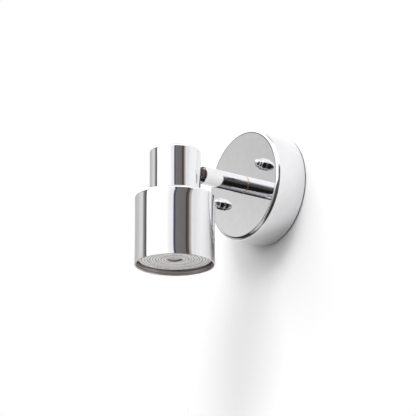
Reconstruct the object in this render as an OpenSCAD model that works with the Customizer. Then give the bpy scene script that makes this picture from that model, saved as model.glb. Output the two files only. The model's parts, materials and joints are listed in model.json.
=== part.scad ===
// Pivoting spotlight wall light: a lamp head on a short swivelling arm, on a round chrome base.
// The origin is on the wall at the centre of the base. The light stands out along -Y, +Z is up.

/* [Base cup] */
// Outer diameter of the chrome cup
cup_d = 80; // [78:1:100]
// How far the cup's face stands out from the wall
cup_depth = 25; // [24:0.5:40]
// Sheet thickness of the cup
cup_wall = 1; // [0.8:0.1:1.4]
// Rounding of the cup's front edge
cup_round = 2.8; // [1.5:0.1:4]
// Thickness of the foam gasket behind the cup
gasket_t = 1; // [0.5:0.1:2]
// Width of the foam gasket
gasket_w = 3; // [2:0.5:5]
// How far the gasket sits inside the cup's outline
gasket_inset = 0.4; // [0.2:0.1:1]

/* [Wall bracket] */
// Distance from the cup's wall to the round edge of the steel bracket
bracket_gap = 4; // [2.5:0.5:6]
// Distance between the bracket's two straight edges
bracket_h = 48; // [46:1:50]
// Thickness of the bracket
bracket_t = 1.5; // [1.2:0.1:2]
// Diameter of the hole for the supply cable
cable_hole_d = 16; // [12:1:18]
// Distance from the middle of each slot for a wall screw to the bracket's round edge
slot_edge = 12.5; // [11.5:0.5:13.5]
// Overall length of each slot
slot_len = 13; // [9:0.5:14]
// Width of each slot
slot_w = 4.5; // [4:0.1:5]

/* [Studs and cap nuts] */
// Distance from the middle of each stud to the cup's outline
stud_edge = 14.1; // [13:0.1:15]
// Tilt of the line through the studs
stud_tilt = 18.9; // [17:0.1:21]
// Thread diameter of the studs
stud_d = 4; // [3.5:0.1:4.2]
// Diameter of each stud's flat head
stud_head_d = 6; // [5.5:0.1:6.2]
// Thickness of each stud's flat head
stud_head_t = 0.7; // [0.5:0.1:0.9]
// Width across the flats of the nuts that lock the studs
stud_nut_af = 7; // [6.6:0.1:7.4]
// Thickness of the nuts that lock the studs
stud_nut_t = 2.2; // [1.6:0.1:3]
// Clearance round each stud in the cup's face
stud_gap = 0.25; // [0.15:0.05:0.4]
// Diameter of the washers under the cap nuts
cap_washer_d = 8.4; // [8.2:0.1:9.6]
// Thickness of the washers under the cap nuts
cap_washer_t = 0.6; // [0.4:0.1:1]
// Width across the flats of the cap nuts
cap_nut_af = 7; // [6.4:0.1:7.4]
// Height of the hexagon of each cap nut
cap_hex_h = 3.2; // [2.6:0.1:4]
// Diameter of the dome of each cap nut
cap_dome_d = 6; // [5.4:0.1:6.4]
// Whole height of each cap nut
cap_nut_h = 7.6; // [7:0.1:9]
// Depth of the thread in each cap nut
cap_bore_h = 5.2; // [4.6:0.1:5.6]

/* [Arm] */
// Outer diameter of the arm's tube
arm_d = 12.8; // [12.4:0.1:14]
// Wall thickness of the arm's tube
arm_wall = 0.9; // [0.7:0.05:1]
// Length of the arm's tube
arm_len = 35.7; // [32:0.1:80]
// Thickness of the washer at the arm's root
swivel_washer_t = 0.5; // [0.4:0.1:1.2]
// Diameter of the washer at the arm's root
swivel_washer_d = 13.4; // [13:0.1:16]
// Length of the threaded bush in the arm's root
root_bush_len = 12; // [8:0.5:14]
// Thread diameter of the hollow nipple
nipple_d = 10; // [9.6:0.1:10.2]
// Bore of the hollow nipple
nipple_bore_d = 7.2; // [6.8:0.1:7.6]
// How far the nipple reaches into the arm
nipple_in_arm = 10.5; // [6:0.5:11]
// How far the nipple reaches behind the cup's face
nipple_in_cup = 8; // [7.6:0.1:9]
// Running clearance round a turning piece, on the radius
run_gap = 0.05; // [0.03:0.01:0.08]

/* [Arm fixings] */
// Diameter of the flat washer behind the cup's face
friction_washer_d = 18; // [17:0.5:22]
// Thickness of the flat washer behind the cup's face
friction_washer_t = 0.8; // [0.6:0.1:1]
// Diameter of the spring washer
spring_washer_d = 15; // [14.5:0.5:17]
// Thickness of the spring washer
spring_washer_t = 1; // [0.8:0.1:1.2]
// Width across the flats of the arm's locknut
locknut_af = 14; // [13:0.5:16]
// Thickness of the arm's locknut
locknut_t = 3.6; // [3:0.1:4]
// Thickness of the plastic edge guard's collar
bush_collar_t = 1.4; // [1:0.1:2]
// Length of the plastic edge guard inside the nipple
bush_barrel_len = 4.6; // [3:0.2:6]

/* [Hinge] */
// Gap between the arm's open end and the upper can
hinge_gap = 5.1; // [5:0.1:8]
// Height of the ears on both halves of the hinge
ear_h = 6; // [5:0.1:6.2]
// Thickness of each ear
ear_t = 1; // [0.8:0.05:1.1]
// Space between the two ears of the arm's hinge block
ear_space = 5.2; // [5:0.1:5.3]
// Thickness of the washer between two ears
pivot_washer_t = 0.3; // [0.2:0.05:0.35]
// Diameter of the pivot rivets
pivot_d = 2; // [1.6:0.1:2.2]
// Diameter of the heads of the pivot rivets
pivot_head_d = 3.6; // [3.2:0.1:3.8]
// Thickness of the outer heads of the pivot rivets
pivot_head_t = 0.6; // [0.4:0.05:0.7]
// Thickness of the inner heads of the pivot rivets
pivot_inner_t = 0.5; // [0.4:0.05:0.55]
// Length of the hinge block inside the arm
knuckle_len = 5; // [4:0.2:8]
// How far the hinge block sits inside the arm's open end
knuckle_inset = 0.8; // [0.7:0.1:2]
// Width of the hinge plate inside the upper can
yoke_w = 12; // [11.4:0.1:12.4]
// Height of the hinge plate inside the upper can
yoke_h = 22.4; // [21:0.2:23]
// Thickness of the hinge plate
yoke_t = 1; // [0.8:0.1:1.2]
// Distance between the two rivets of the hinge plate
yoke_rivet_pitch = 18.8; // [18:0.1:19.4]
// Diameter of the rivets of the hinge plate
yoke_rivet_d = 2; // [1.6:0.1:2.2]
// Diameter of the heads of those rivets
yoke_rivet_head_d = 3; // [2.6:0.1:3.2]
// Height of the heads of those rivets
yoke_rivet_head_t = 0.8; // [0.6:0.05:1]

/* [Cans of the head] */
// Outer diameter of the upper can
upper_d = 35.4; // [35:0.1:38]
// Length of the upper can
upper_len = 33.3; // [33:0.1:44]
// Distance from the arm's axis down to the top of the lower can
arm_to_step = 20; // [19.4:0.1:24]
// Outer diameter of the lower can
lower_d = 55.5; // [54.5:0.1:58]
// Sheet thickness of both cans
can_wall = 1; // [0.8:0.05:1.1]
// Rounding of the top edges of both cans
can_round = 2; // [1.5:0.1:3]
// How far the lens sits inside the lower can's mouth
lens_recess = 3.6; // [2:0.2:10]
// Width of the upper can's rolled neck under the lower can's top
neck_lip_w = 1.6; // [1:0.1:2]
// Thickness of that rolled lip
neck_lip_t = 0.8; // [0.6:0.1:1]

/* [Lampholder] */
// Length of the lampholder across its two pins
holder_w = 27; // [26.6:0.1:27.4]
// Depth of the lampholder
holder_d = 17; // [16:0.2:18]
// Height of the lampholder
holder_h = 13; // [12:0.2:14]
// How far the lampholder's face is below the top of the lower can
holder_drop = 2.3; // [2:0.1:4]
// Distance between the lamp's two pins
pin_pitch = 10; // [9.8:0.1:10.2]
// Diameter of each pin's head
pin_head_d = 5; // [4.6:0.1:5.2]
// Diameter of each pin's shank
pin_d = 3; // [2.6:0.1:3.2]
// Height of each pin's head
pin_head_h = 2.4; // [2:0.1:3]
// Length of the lamp's pins
pin_len = 7; // [6.4:0.1:7.4]
// Angle that the lamp turns to lock
twist_angle = 18; // [14:1:20]
// Clearance round the pins in the lampholder's slots
pin_gap = 0.3; // [0.2:0.05:0.35]
// Distance between the two screws of the lampholder
holder_screw_pitch = 21.6; // [21.4:0.1:21.8]
// Thread diameter of the lampholder's screws
holder_screw_d = 2.5; // [2.2:0.1:2.6]
// Diameter of the heads of the lampholder's screws
holder_screw_head_d = 4.4; // [4:0.1:4.6]
// Height of the heads of the lampholder's screws
holder_screw_head_t = 1.6; // [1.2:0.1:2]
// Thickness of the bracket that carries the lampholder
holder_bracket_t = 1; // [0.8:0.1:1.2]
// Width of that bracket
holder_bracket_w = 14; // [13:0.2:14.6]
// Height of that bracket's legs
holder_bracket_leg = 9; // [7:0.5:11]

/* [Lamp] */
// Gap between the lamp's round face and the lower can
lamp_gap = 1.75; // [1.25:0.05:2.25]
// Length of the lamp without its pins
lamp_len = 43; // [41:0.2:50]
// Diameter of the lamp's neck at the pins
lamp_neck_d = 22; // [21:0.5:23]
// Length of the lamp's neck
lamp_neck_len = 14; // [12:0.5:16]
// Height of the lamp's straight front rim
lamp_rim_h = 6; // [5:0.2:8]
// Wall thickness of the lamp's body
lamp_wall = 1.6; // [1.2:0.1:2]
// Thickness of the lens
lens_t = 3; // [2.4:0.1:4]
// Width of the lamp body's edge round the lens
lens_edge = 1; // [0.8:0.1:1.4]
// Diameter of the round hollow at the lens's centre
hollow_d = 9; // [7:0.5:11]
// Depth of that hollow down to the small disc in it
hollow_depth = 1; // [0.6:0.1:1.4]
// Thickness of the small disc at the bottom of the hollow
centre_t = 0.4; // [0.3:0.1:0.6]
// Thickness of the lamp's circuit board
board_t = 1.6; // [1:0.1:2]
// Gap between the lamp and the lampholder
lamp_seat_gap = 0.2; // [0.1:0.05:0.4]

/* [Wiring] */
// Diameter of each insulated lead
lead_d = 1.7; // [1.5:0.05:1.75]
// Diameter of the sleeve round the leads
sleeve_d = 3.8; // [3.7:0.05:3.9]
// Length of the terminal block
block_w = 18; // [17:0.5:19]
// Depth of the terminal block
block_d = 10; // [9:0.5:11]
// Height of the terminal block
block_h = 11; // [10:0.5:12]
// Distance between the block's two terminals
block_pitch = 9; // [8.6:0.1:9.4]
// Diameter of each brass terminal
barrel_d = 5; // [4.6:0.1:5.2]
// Diameter of each terminal screw
terminal_screw_d = 2.6; // [2.2:0.1:2.8]
// Distance from the arm's axis down to the middle of the block
block_drop = 16; // [15.6:0.1:16.6]
// Diameter of the base's earth screw
earth_screw_d = 3; // [2.6:0.1:3.2]
// Diameter of the head of the base's earth screw
earth_head_d = 5.6; // [5:0.1:6]
// Height of the heads of the earth screws
earth_head_t = 1.8; // [1.4:0.1:2.2]
// Diameter of the earth screw inside the head
head_earth_screw_d = 2.4; // [2:0.1:2.6]
// Diameter of the head of that screw
head_earth_head_d = 4.4; // [4:0.1:4.8]
// Thickness of the earth tags
earth_tag_t = 0.6; // [0.5:0.1:0.8]

/* [Hidden] */

// Facets of round pieces, and of hexagons
round_fn = 96;
small_fn = 48;
hex_fn = 6;
// Steps of a rounded edge in an outline
edge_steps = 8;
// Rings and sides of a lead
lead_rings = 18;
lead_sides = 8;
// Overrun of a cut past the faces that it goes through
over = 0.5;
// Clearance between two pieces that are fixed to each other
fix_gap = 0.05;
// The chrome, steel and other colours
chrome = [0.82, 0.82, 0.84];
steel = [0.6, 0.6, 0.62];
dark_steel = [0.16, 0.15, 0.15];
brass = [0.78, 0.62, 0.3];
nickel = [0.72, 0.68, 0.62];
nylon = [0.86, 0.8, 0.74];
white_plastic = [0.92, 0.92, 0.9];
ceramic = [0.93, 0.92, 0.87];
sleeve_white = [0.88, 0.87, 0.83];
live_brown = [0.4, 0.22, 0.1];
neutral_blue = [0.12, 0.3, 0.7];
earth_green = [0.3, 0.6, 0.2];
lens_grey = [0.78, 0.78, 0.77];
foam = [0.1, 0.1, 0.1];

// Places out from the wall
face_out = cup_depth;
face_in = cup_depth - cup_wall;
arm_root_out = face_out + swivel_washer_t;
mouth_out = arm_root_out + arm_len;
pivot_out = mouth_out + hinge_gap / 2;
head_out = mouth_out + hinge_gap + upper_d / 2;
friction_out = face_in - friction_washer_t;
spring_out = friction_out - spring_washer_t;
locknut_out = spring_out - locknut_t;
nipple_back = face_in - nipple_in_cup;
collar_back = nipple_back - bush_collar_t;
knuckle_front = mouth_out - knuckle_inset;
knuckle_back = knuckle_front - knuckle_len;

// Heights of the head's pieces
step_z = -arm_to_step;
top_z = step_z + upper_len;
holder_face_z = step_z - holder_drop;
holder_top_z = holder_face_z + holder_h;
shoulder_z = holder_face_z - lamp_seat_gap;
lamp_face_z = shoulder_z - lamp_len;
rim_z = lamp_face_z - lens_recess;

// Radii that pieces share
cup_r = cup_d / 2;
bracket_d = cup_d - 2 * (cup_wall + bracket_gap);
lamp_d = lower_d - 2 * (can_wall + lamp_gap);
arm_in_r = arm_d / 2 - arm_wall;
upper_in_r = upper_d / 2 - can_wall;
ear_r = ear_h / 2;
sleeve_r = sleeve_d / 2;
lead_r = lead_d / 2;
lead_offset = sleeve_r - lead_r;
lead_gap = 0.4;
// Where the three leads lie round the sleeve's axis
live_angle = 210;
neutral_angle = -30;
earth_angle = 90;
sleeve_hole_r = sleeve_r + lead_gap;
// The rolled neck passes round the lampholder and through the lower can's top
holder_gap = 0.15;
neck_r = holder_w / 2 + holder_gap + can_wall;
neck_in_r = neck_r - can_wall;

// Hinge: places along X from the middle outward
arm_ear_in = ear_space / 2;
arm_ear_out = arm_ear_in + ear_t;
yoke_ear_in = arm_ear_out + pivot_washer_t;
yoke_ear_out = yoke_ear_in + ear_t;
// The flat hinge plate touches the can's round wall with its edges
yoke_plate_y = sqrt(pow(upper_in_r - fix_gap, 2) - pow(yoke_w / 2, 2));
window_gap = 0.2;
window_w = 2 * (yoke_ear_out + window_gap);
window_h = ear_h + 2 * window_gap;
// The sleeve's two halves end in round tips on each side of the pivot
sleeve_tip_gap = 0.5;
sleeve_tip = sleeve_r + sleeve_tip_gap / 2;
// Gap between the lens and the board behind it
board_gap = 0.6;
sleeve_base_tail = 2;
sleeve_head_tail = 2;

// Bracket that carries the lampholder, across the upper can
web_half = sqrt(pow(upper_in_r - fix_gap, 2) - pow(holder_bracket_w / 2, 2));
web_wire_r = lead_r + lead_gap;
contact_gap = 0.3;
contact_t = 1;
contact_w = 3.6;
contact_z = shoulder_z + pin_len + contact_gap;
contact_post_r = 0.8;
pocket_z = contact_z + contact_t + contact_gap;

// Slots, studs and the terminal block, seen from the front
slot_x = bracket_d / 2 - slot_edge;
stud_x = (cup_r - stud_edge) * cos(stud_tilt);
stud_z = (cup_r - stud_edge) * sin(stud_tilt);
block_z = -block_drop;
barrel_out = bracket_t + block_h / 2;
barrel_r = barrel_d / 2;
terminal_screw_h = 3;
terminal_recess = 1;
block_screw_d = 2.8;
block_screw_head_d = 4.2;
block_screw_head_t = 1.4;
earth_x = 12;
earth_z = 16;
// Height of the head's earth screw on the hinge plate, above the sleeve
head_earth_z = sleeve_r + lead_gap + head_earth_head_d / 2;
sleeve_end_base = collar_back - sleeve_base_tail;
sleeve_end_head = head_out - yoke_plate_y + yoke_t + sleeve_head_tail;

// Points of an arc in an outline, from one angle to another
function arc(cx, cy, r, from, to) =
    [for (i = [0:edge_steps]) let (a = from + (to - from) * i / edge_steps)
        [cx + r * cos(a), cy + r * sin(a)]];

// The points of a list without its first and last
function inside(points) = [for (i = [1:len(points) - 2]) points[i]];

// A point of a smooth lead between two ends, with two guides
function bezier(p, t) =
    pow(1 - t, 3) * p[0] + 3 * pow(1 - t, 2) * t * p[1]
    + 3 * (1 - t) * pow(t, 2) * p[2] + pow(t, 3) * p[3];
function bezier_dir(p, t) =
    3 * pow(1 - t, 2) * (p[1] - p[0]) + 6 * (1 - t) * t * (p[2] - p[1])
    + 3 * pow(t, 2) * (p[3] - p[2]);
function unit(v) = v / norm(v);

// Puts a piece that is drawn with its axis on +Z onto the wall's frame, out along -Y
module at_wall(out) {
    translate([0, -out, 0]) rotate([90, 0, 0]) children();
}

// Puts a piece onto the head's upright axis
module at_head(z) {
    translate([0, -head_out, z]) children();
}

// A round disc or ring, from its foot upward
module ring(r, bore, h, fn = round_fn) {
    difference() {
        cylinder(r = r, h = h, $fn = fn);
        if (bore > 0) translate([0, 0, -over]) cylinder(r = bore, h = h + 2 * over, $fn = fn);
    }
}

// A hexagon nut with a round hole, from its foot upward
module hex_nut(af, bore, h) {
    difference() {
        cylinder(d = af / cos(180 / hex_fn), h = h, $fn = hex_fn);
        translate([0, 0, -over]) cylinder(r = bore, h = h + 2 * over, $fn = small_fn);
    }
}

// A slot with round ends along X
module slot_shape(len, w) {
    square([len - w, w], center = true);
    for (side = [-1, 1]) translate([side * (len - w) / 2, 0]) circle(d = w, $fn = small_fn);
}

// Copies a child to both studs
module at_studs() {
    for (side = [-1, 1]) translate([side * stud_x, side * stud_z, 0]) children();
}

// A lead swept along a smooth curve, which never runs along the vector across
module lead(p, across) {
    rings = [for (i = [0:lead_rings])
        let (t = i / lead_rings, d = unit(bezier_dir(p, t)),
             u = unit(across - (across * d) * d), v = cross(d, u))
        [for (k = [0:lead_sides - 1]) let (a = 360 * k / lead_sides)
            bezier(p, t) + lead_r * (cos(a) * u + sin(a) * v)]];
    points = [for (one = rings) each one];
    last = lead_rings * lead_sides;
    faces = [
        for (i = [0:lead_rings - 1]) for (k = [0:lead_sides - 1])
            let (a = i * lead_sides + k, b = i * lead_sides + (k + 1) % lead_sides)
            each [[a, b, a + lead_sides], [b, b + lead_sides, a + lead_sides]],
        [for (k = [0:lead_sides - 1]) lead_sides - 1 - k],
        [for (k = [0:lead_sides - 1]) last + k]
    ];
    polyhedron(points = points, faces = faces);
}

module wall_bracket() {
    color(steel) at_wall(0) difference() {
        linear_extrude(bracket_t) difference() {
            intersection() {
                circle(d = bracket_d, $fn = round_fn);
                square([bracket_d, bracket_h], center = true);
            }
            circle(d = cable_hole_d, $fn = round_fn);
            for (side = [-1, 1]) translate([side * slot_x, 0]) slot_shape(slot_len, slot_w);
            at_studs() circle(r = stud_d / 2 + fix_gap, $fn = small_fn);
            translate([0, block_z]) circle(d = block_screw_d, $fn = small_fn);
            translate([earth_x, earth_z]) circle(d = earth_screw_d, $fn = small_fn);
        }
        at_studs() translate([0, 0, -over])
            cylinder(r = stud_head_d / 2 + fix_gap, h = stud_head_t + over, $fn = small_fn);
    }
}

module bracket_studs() {
    stud_end = face_out + cap_washer_t + cap_bore_h - fix_gap;
    color(steel) at_wall(0) at_studs() {
        cylinder(d = stud_head_d, h = stud_head_t, $fn = small_fn);
        cylinder(d = stud_d, h = stud_end, $fn = small_fn);
    }
}

module stud_locknuts() {
    color(steel) at_wall(bracket_t) at_studs() hex_nut(stud_nut_af, stud_d / 2 + fix_gap, stud_nut_t);
}

module base_cover() {
    inner_round = max(cup_round - cup_wall, fix_gap);
    outline = concat(
        [[0, face_out]],
        arc(cup_r - cup_round, face_out - cup_round, cup_round, 90, 0),
        [[cup_r, gasket_t], [cup_r - cup_wall, gasket_t]],
        arc(cup_r - cup_wall - inner_round, face_in - inner_round, inner_round, 0, 90),
        [[0, face_in]]
    );
    color(chrome) at_wall(0) difference() {
        rotate_extrude($fn = round_fn) polygon(outline);
        translate([0, 0, face_in - over])
            cylinder(r = nipple_d / 2 + run_gap, h = cup_wall + 2 * over, $fn = round_fn);
        at_studs() translate([0, 0, face_in - over])
            cylinder(r = stud_d / 2 + stud_gap, h = cup_wall + 2 * over, $fn = small_fn);
    }
}

module base_gasket() {
    gasket_r = cup_r - gasket_inset;
    color(foam) at_wall(0) ring(gasket_r, gasket_r - gasket_w, gasket_t);
}

module cap_nut_washers() {
    color(chrome) at_wall(face_out) at_studs()
        ring(cap_washer_d / 2, stud_d / 2 + fix_gap, cap_washer_t, small_fn);
}

module cap_nuts() {
    dome_r = cap_dome_d / 2;
    dome_z = cap_nut_h - dome_r;
    color(chrome) at_wall(face_out + cap_washer_t) at_studs() difference() {
        union() {
            intersection() {
                cylinder(d = cap_nut_af / cos(180 / hex_fn), h = cap_hex_h, $fn = hex_fn);
                cylinder(r1 = cap_nut_af / 2 + cap_hex_h, r2 = cap_nut_af / 2, h = cap_hex_h,
                         $fn = small_fn);
            }
            cylinder(r = dome_r, h = dome_z, $fn = small_fn);
            translate([0, 0, dome_z]) sphere(r = dome_r, $fn = small_fn);
        }
        translate([0, 0, -over])
            cylinder(r = stud_d / 2 + fix_gap, h = cap_bore_h + over, $fn = small_fn);
    }
}

module swivel_washer() {
    color(nickel) at_wall(face_out)
        ring(swivel_washer_d / 2, nipple_d / 2 + run_gap, swivel_washer_t);
}

module terminal_block() {
    color(white_plastic) at_wall(bracket_t) translate([0, block_z, 0]) difference() {
        translate([-block_w / 2, -block_d / 2, 0]) cube([block_w, block_d, block_h]);
        for (side = [-1, 1]) translate([side * block_pitch / 2, 0, 0]) {
            translate([0, 0, barrel_out - bracket_t]) rotate([90, 0, 0])
                cylinder(r = barrel_r + fix_gap, h = block_d + 2 * over, center = true,
                         $fn = small_fn);
            for (end = [-1, 1]) translate([0, end * block_d / 4, barrel_out - bracket_t])
                cylinder(r = terminal_screw_d / 2 + 2 * fix_gap, h = block_h, $fn = small_fn);
        }
        translate([0, 0, -over])
            cylinder(d = block_screw_d + 2 * fix_gap, h = block_h + 2 * over, $fn = small_fn);
        translate([0, 0, block_h - block_screw_head_t])
            cylinder(r = block_screw_head_d / 2 + fix_gap, h = block_screw_head_t + over,
                     $fn = small_fn);
    }
}

module terminal_barrels() {
    color(brass) at_wall(barrel_out) for (side = [-1, 1])
        translate([side * block_pitch / 2, block_z, 0]) difference() {
            rotate([90, 0, 0]) difference() {
                cylinder(r = barrel_r, h = block_d - 2 * terminal_recess, center = true,
                         $fn = small_fn);
                cylinder(r = lead_r + fix_gap, h = block_d, center = true, $fn = small_fn);
            }
            for (end = [-1, 1]) translate([0, end * block_d / 4, 0])
                cylinder(r = terminal_screw_d / 2 + fix_gap, h = block_h, $fn = small_fn);
        }
}

module terminal_screws() {
    screw_foot = lead_r + fix_gap;
    color(steel) at_wall(barrel_out + screw_foot) for (side = [-1, 1]) for (end = [-1, 1])
        translate([side * block_pitch / 2, block_z + end * block_d / 4, 0]) difference() {
            cylinder(d = terminal_screw_d, h = terminal_screw_h, $fn = small_fn);
            translate([0, 0, terminal_screw_h])
                cube([terminal_screw_d + over, terminal_screw_d / 4, terminal_screw_d / 2],
                     center = true);
        }
}

module block_screw() {
    color(steel) at_wall(0) translate([0, block_z, 0]) {
        cylinder(d = block_screw_d, h = bracket_t + block_h - block_screw_head_t, $fn = small_fn);
        translate([0, 0, bracket_t + block_h - block_screw_head_t])
            cylinder(d = block_screw_head_d, h = block_screw_head_t, $fn = small_fn);
    }
}

// A cross-slot screw through a tag, from the sheet's far side: shank, then head
module earth_screw(screw_d, head_d, sheet_t) {
    cylinder(d = screw_d, h = sheet_t + earth_tag_t, $fn = small_fn);
    translate([0, 0, sheet_t + earth_tag_t]) difference() {
        cylinder(d = head_d, h = earth_head_t, $fn = small_fn);
        for (turn = [0, 90]) rotate([0, 0, turn]) translate([0, 0, earth_head_t])
            cube([head_d / 2, head_d / 8, earth_head_t], center = true);
    }
}

// A ring tag with a strip under the lead, along +X
module earth_tag(screw_d, head_d) {
    linear_extrude(earth_tag_t) difference() {
        union() {
            circle(d = head_d, $fn = small_fn);
            translate([0, -lead_r]) square([head_d, lead_d]);
        }
        circle(r = screw_d / 2 + fix_gap, $fn = small_fn);
    }
}

module base_earth_screw() {
    color(brass) at_wall(0) translate([earth_x, earth_z, 0])
        earth_screw(earth_screw_d, earth_head_d, bracket_t);
}

module base_earth_tag() {
    color(steel) at_wall(bracket_t) translate([earth_x, earth_z, 0]) rotate([0, 0, 180])
        earth_tag(earth_screw_d, earth_head_d);
}

// Ends of the three leads where they leave the sleeve, on a circle round its axis
function lead_place(angle) = lead_offset * [cos(angle), 0, sin(angle)];

// A lead from the sleeve's wall end to one terminal
function terminal_route(angle, side) =
    let (start = lead_place(angle) - [0, sleeve_end_base, 0],
         end = [side * block_pitch / 2, -barrel_out, block_z + block_d / 2 - terminal_recess])
    [start, start + [0, barrel_out, 0] / 2, end + [0, 0, block_d / 2], end];

module base_live_lead() {
    color(live_brown) lead(terminal_route(live_angle, -1), [1, 0, 0]);
}

module base_neutral_lead() {
    color(neutral_blue) lead(terminal_route(neutral_angle, 1), [1, 0, 0]);
}

module base_earth_lead() {
    start = lead_place(earth_angle) - [0, sleeve_end_base, 0];
    end = [earth_x - earth_head_d / 2 - lead_d, -(bracket_t + earth_tag_t + lead_r), earth_z];
    route = [start, start + [0, barrel_out, 0] / 2, end - [earth_head_d, 0, 0], end];
    color(earth_green) lead(route, [1, -1, 0]);
}

module arm_tube() {
    color(chrome) at_wall(arm_root_out) ring(arm_d / 2, arm_in_r, arm_len);
}

module arm_root_bush() {
    color(brass) at_wall(arm_root_out) ring(arm_in_r - fix_gap, nipple_d / 2 + fix_gap, root_bush_len);
}

module arm_nipple() {
    color(brass) at_wall(nipple_back)
        ring(nipple_d / 2, nipple_bore_d / 2, arm_root_out + nipple_in_arm - nipple_back);
}

module friction_washer() {
    color(steel) at_wall(friction_out)
        ring(friction_washer_d / 2, nipple_d / 2 + fix_gap, friction_washer_t);
}

module spring_washer() {
    color(steel) at_wall(spring_out)
        ring(spring_washer_d / 2, nipple_d / 2 + fix_gap, spring_washer_t);
}

module arm_locknut() {
    color(steel) at_wall(locknut_out) hex_nut(locknut_af, nipple_d / 2 + fix_gap, locknut_t);
}

module nipple_bush() {
    color(white_plastic) {
        at_wall(collar_back) ring(nipple_d / 2, sleeve_r + fix_gap, bush_collar_t, small_fn);
        at_wall(collar_back) ring(nipple_bore_d / 2 - fix_gap, sleeve_r + fix_gap,
                                  bush_collar_t + bush_barrel_len, small_fn);
    }
}

// One ear of the hinge, a plate with a round end at the pivot, at a place along X
module ear(x, reach, hole) {
    translate([x, -pivot_out, 0]) rotate([0, 90, 0]) difference() {
        union() {
            cylinder(r = ear_r, h = ear_t, $fn = round_fn);
            translate([-ear_r, min(reach, 0), 0]) cube([ear_h, abs(reach), ear_t]);
        }
        translate([0, 0, -over]) cylinder(r = hole, h = ear_t + 2 * over, $fn = small_fn);
    }
}

module arm_knuckle() {
    reach = pivot_out - knuckle_front + over;
    color(dark_steel) {
        at_wall(knuckle_back) ring(arm_in_r - fix_gap, sleeve_hole_r, knuckle_len);
        for (x = [arm_ear_in, -arm_ear_out]) ear(x, reach, pivot_d / 2 + run_gap);
    }
}

// Half a sleeve with a round tip at the hinge, from one place out from the wall to another
module sleeve_half(tail_out, tip_out) {
    at_wall(min(tail_out, tip_out)) cylinder(r = sleeve_r, h = abs(tip_out - tail_out),
                                             $fn = small_fn);
    translate([0, -tip_out, 0]) rotate([90, 0, 0]) sphere(r = sleeve_r, $fn = small_fn);
}

module arm_lead_sleeve() {
    color(sleeve_white) sleeve_half(sleeve_end_base, pivot_out - sleeve_tip);
}

module head_lead_sleeve() {
    color(sleeve_white) sleeve_half(sleeve_end_head, pivot_out + sleeve_tip);
}

module head_yoke() {
    plate_out = head_out - yoke_plate_y;
    reach = pivot_out - plate_out - over;
    color(dark_steel) {
        difference() {
            translate([-yoke_w / 2, -plate_out - yoke_t, -yoke_h / 2])
                cube([yoke_w, yoke_t, yoke_h]);
            at_wall(plate_out - over) cylinder(r = sleeve_hole_r, h = yoke_t + 2 * over,
                                               $fn = small_fn);
            for (side = [-1, 1]) translate([0, 0, side * yoke_rivet_pitch / 2])
                at_wall(plate_out - over)
                    cylinder(r = yoke_rivet_d / 2, h = yoke_t + 2 * over, $fn = small_fn);
            translate([0, 0, head_earth_z]) at_wall(plate_out - over)
                cylinder(r = head_earth_screw_d / 2, h = yoke_t + 2 * over, $fn = small_fn);
        }
        for (x = [yoke_ear_in, -yoke_ear_out]) ear(x, reach, pivot_d / 2);
    }
}

module pivot_rivets() {
    shank = yoke_ear_out - arm_ear_in;
    color(dark_steel) for (side = [-1, 1]) translate([0, -pivot_out, 0]) rotate([0, side * 90, 0]) {
        translate([0, 0, arm_ear_in]) cylinder(d = pivot_d, h = shank, $fn = small_fn);
        translate([0, 0, yoke_ear_out]) cylinder(d = pivot_head_d, h = pivot_head_t, $fn = small_fn);
        translate([0, 0, arm_ear_in - pivot_inner_t])
            cylinder(d = pivot_head_d, h = pivot_inner_t, $fn = small_fn);
    }
}

module pivot_washers() {
    color(nylon) for (side = [-1, 1]) translate([0, -pivot_out, 0]) rotate([0, side * 90, 0])
        translate([0, 0, arm_ear_out])
            ring(ear_r - run_gap, pivot_d / 2 + fix_gap, pivot_washer_t, small_fn);
}

module yoke_rivets() {
    wall_out = head_out - upper_d / 2;
    plate_end = head_out - yoke_plate_y + yoke_t;
    tail_t = yoke_rivet_head_t / 2;
    dome_r = (pow(yoke_rivet_head_d / 2, 2) + pow(yoke_rivet_head_t, 2)) / (2 * yoke_rivet_head_t);
    color(steel) for (side = [-1, 1]) translate([0, 0, side * yoke_rivet_pitch / 2]) {
        at_wall(wall_out) cylinder(d = yoke_rivet_d, h = plate_end - wall_out + tail_t,
                                   $fn = small_fn);
        at_wall(plate_end) cylinder(d = yoke_rivet_head_d, h = tail_t, $fn = small_fn);
        intersection() {
            at_wall(wall_out - yoke_rivet_head_t)
                cylinder(d = yoke_rivet_head_d, h = yoke_rivet_head_t, $fn = small_fn);
            translate([0, -wall_out - dome_r + yoke_rivet_head_t, 0])
                rotate([90, 0, 0]) sphere(r = dome_r, $fn = small_fn);
        }
    }
}

// Outline of the upper can: its top, wall and the rolled neck at its foot
module upper_outline() {
    r = upper_d / 2;
    inner_round = max(can_round - can_wall, fix_gap);
    lip_top = step_z - can_wall;
    polygon(concat(
        [[0, top_z]],
        arc(r - can_round, top_z - can_round, can_round, 90, 0),
        [[r, step_z], [neck_r, step_z], [neck_r, lip_top], [neck_r + neck_lip_w, lip_top],
         [neck_r + neck_lip_w, lip_top - neck_lip_t], [neck_in_r, lip_top - neck_lip_t],
         [neck_in_r, step_z + can_wall], [upper_in_r, step_z + can_wall]],
        arc(upper_in_r - inner_round, top_z - can_wall - inner_round, inner_round, 0, 90),
        [[0, top_z - can_wall]]
    ));
}

module upper_can() {
    wall_out = head_out - upper_d / 2;
    color(chrome) difference() {
        at_head(0) rotate_extrude($fn = round_fn) upper_outline();
        translate([-window_w / 2, -wall_out - upper_in_r / 2, -window_h / 2])
            cube([window_w, upper_in_r, window_h]);
        for (side = [-1, 1]) translate([0, 0, side * yoke_rivet_pitch / 2])
            at_wall(wall_out - over)
                cylinder(r = yoke_rivet_d / 2 + fix_gap, h = can_wall + 2 * over, $fn = small_fn);
    }
}

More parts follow.
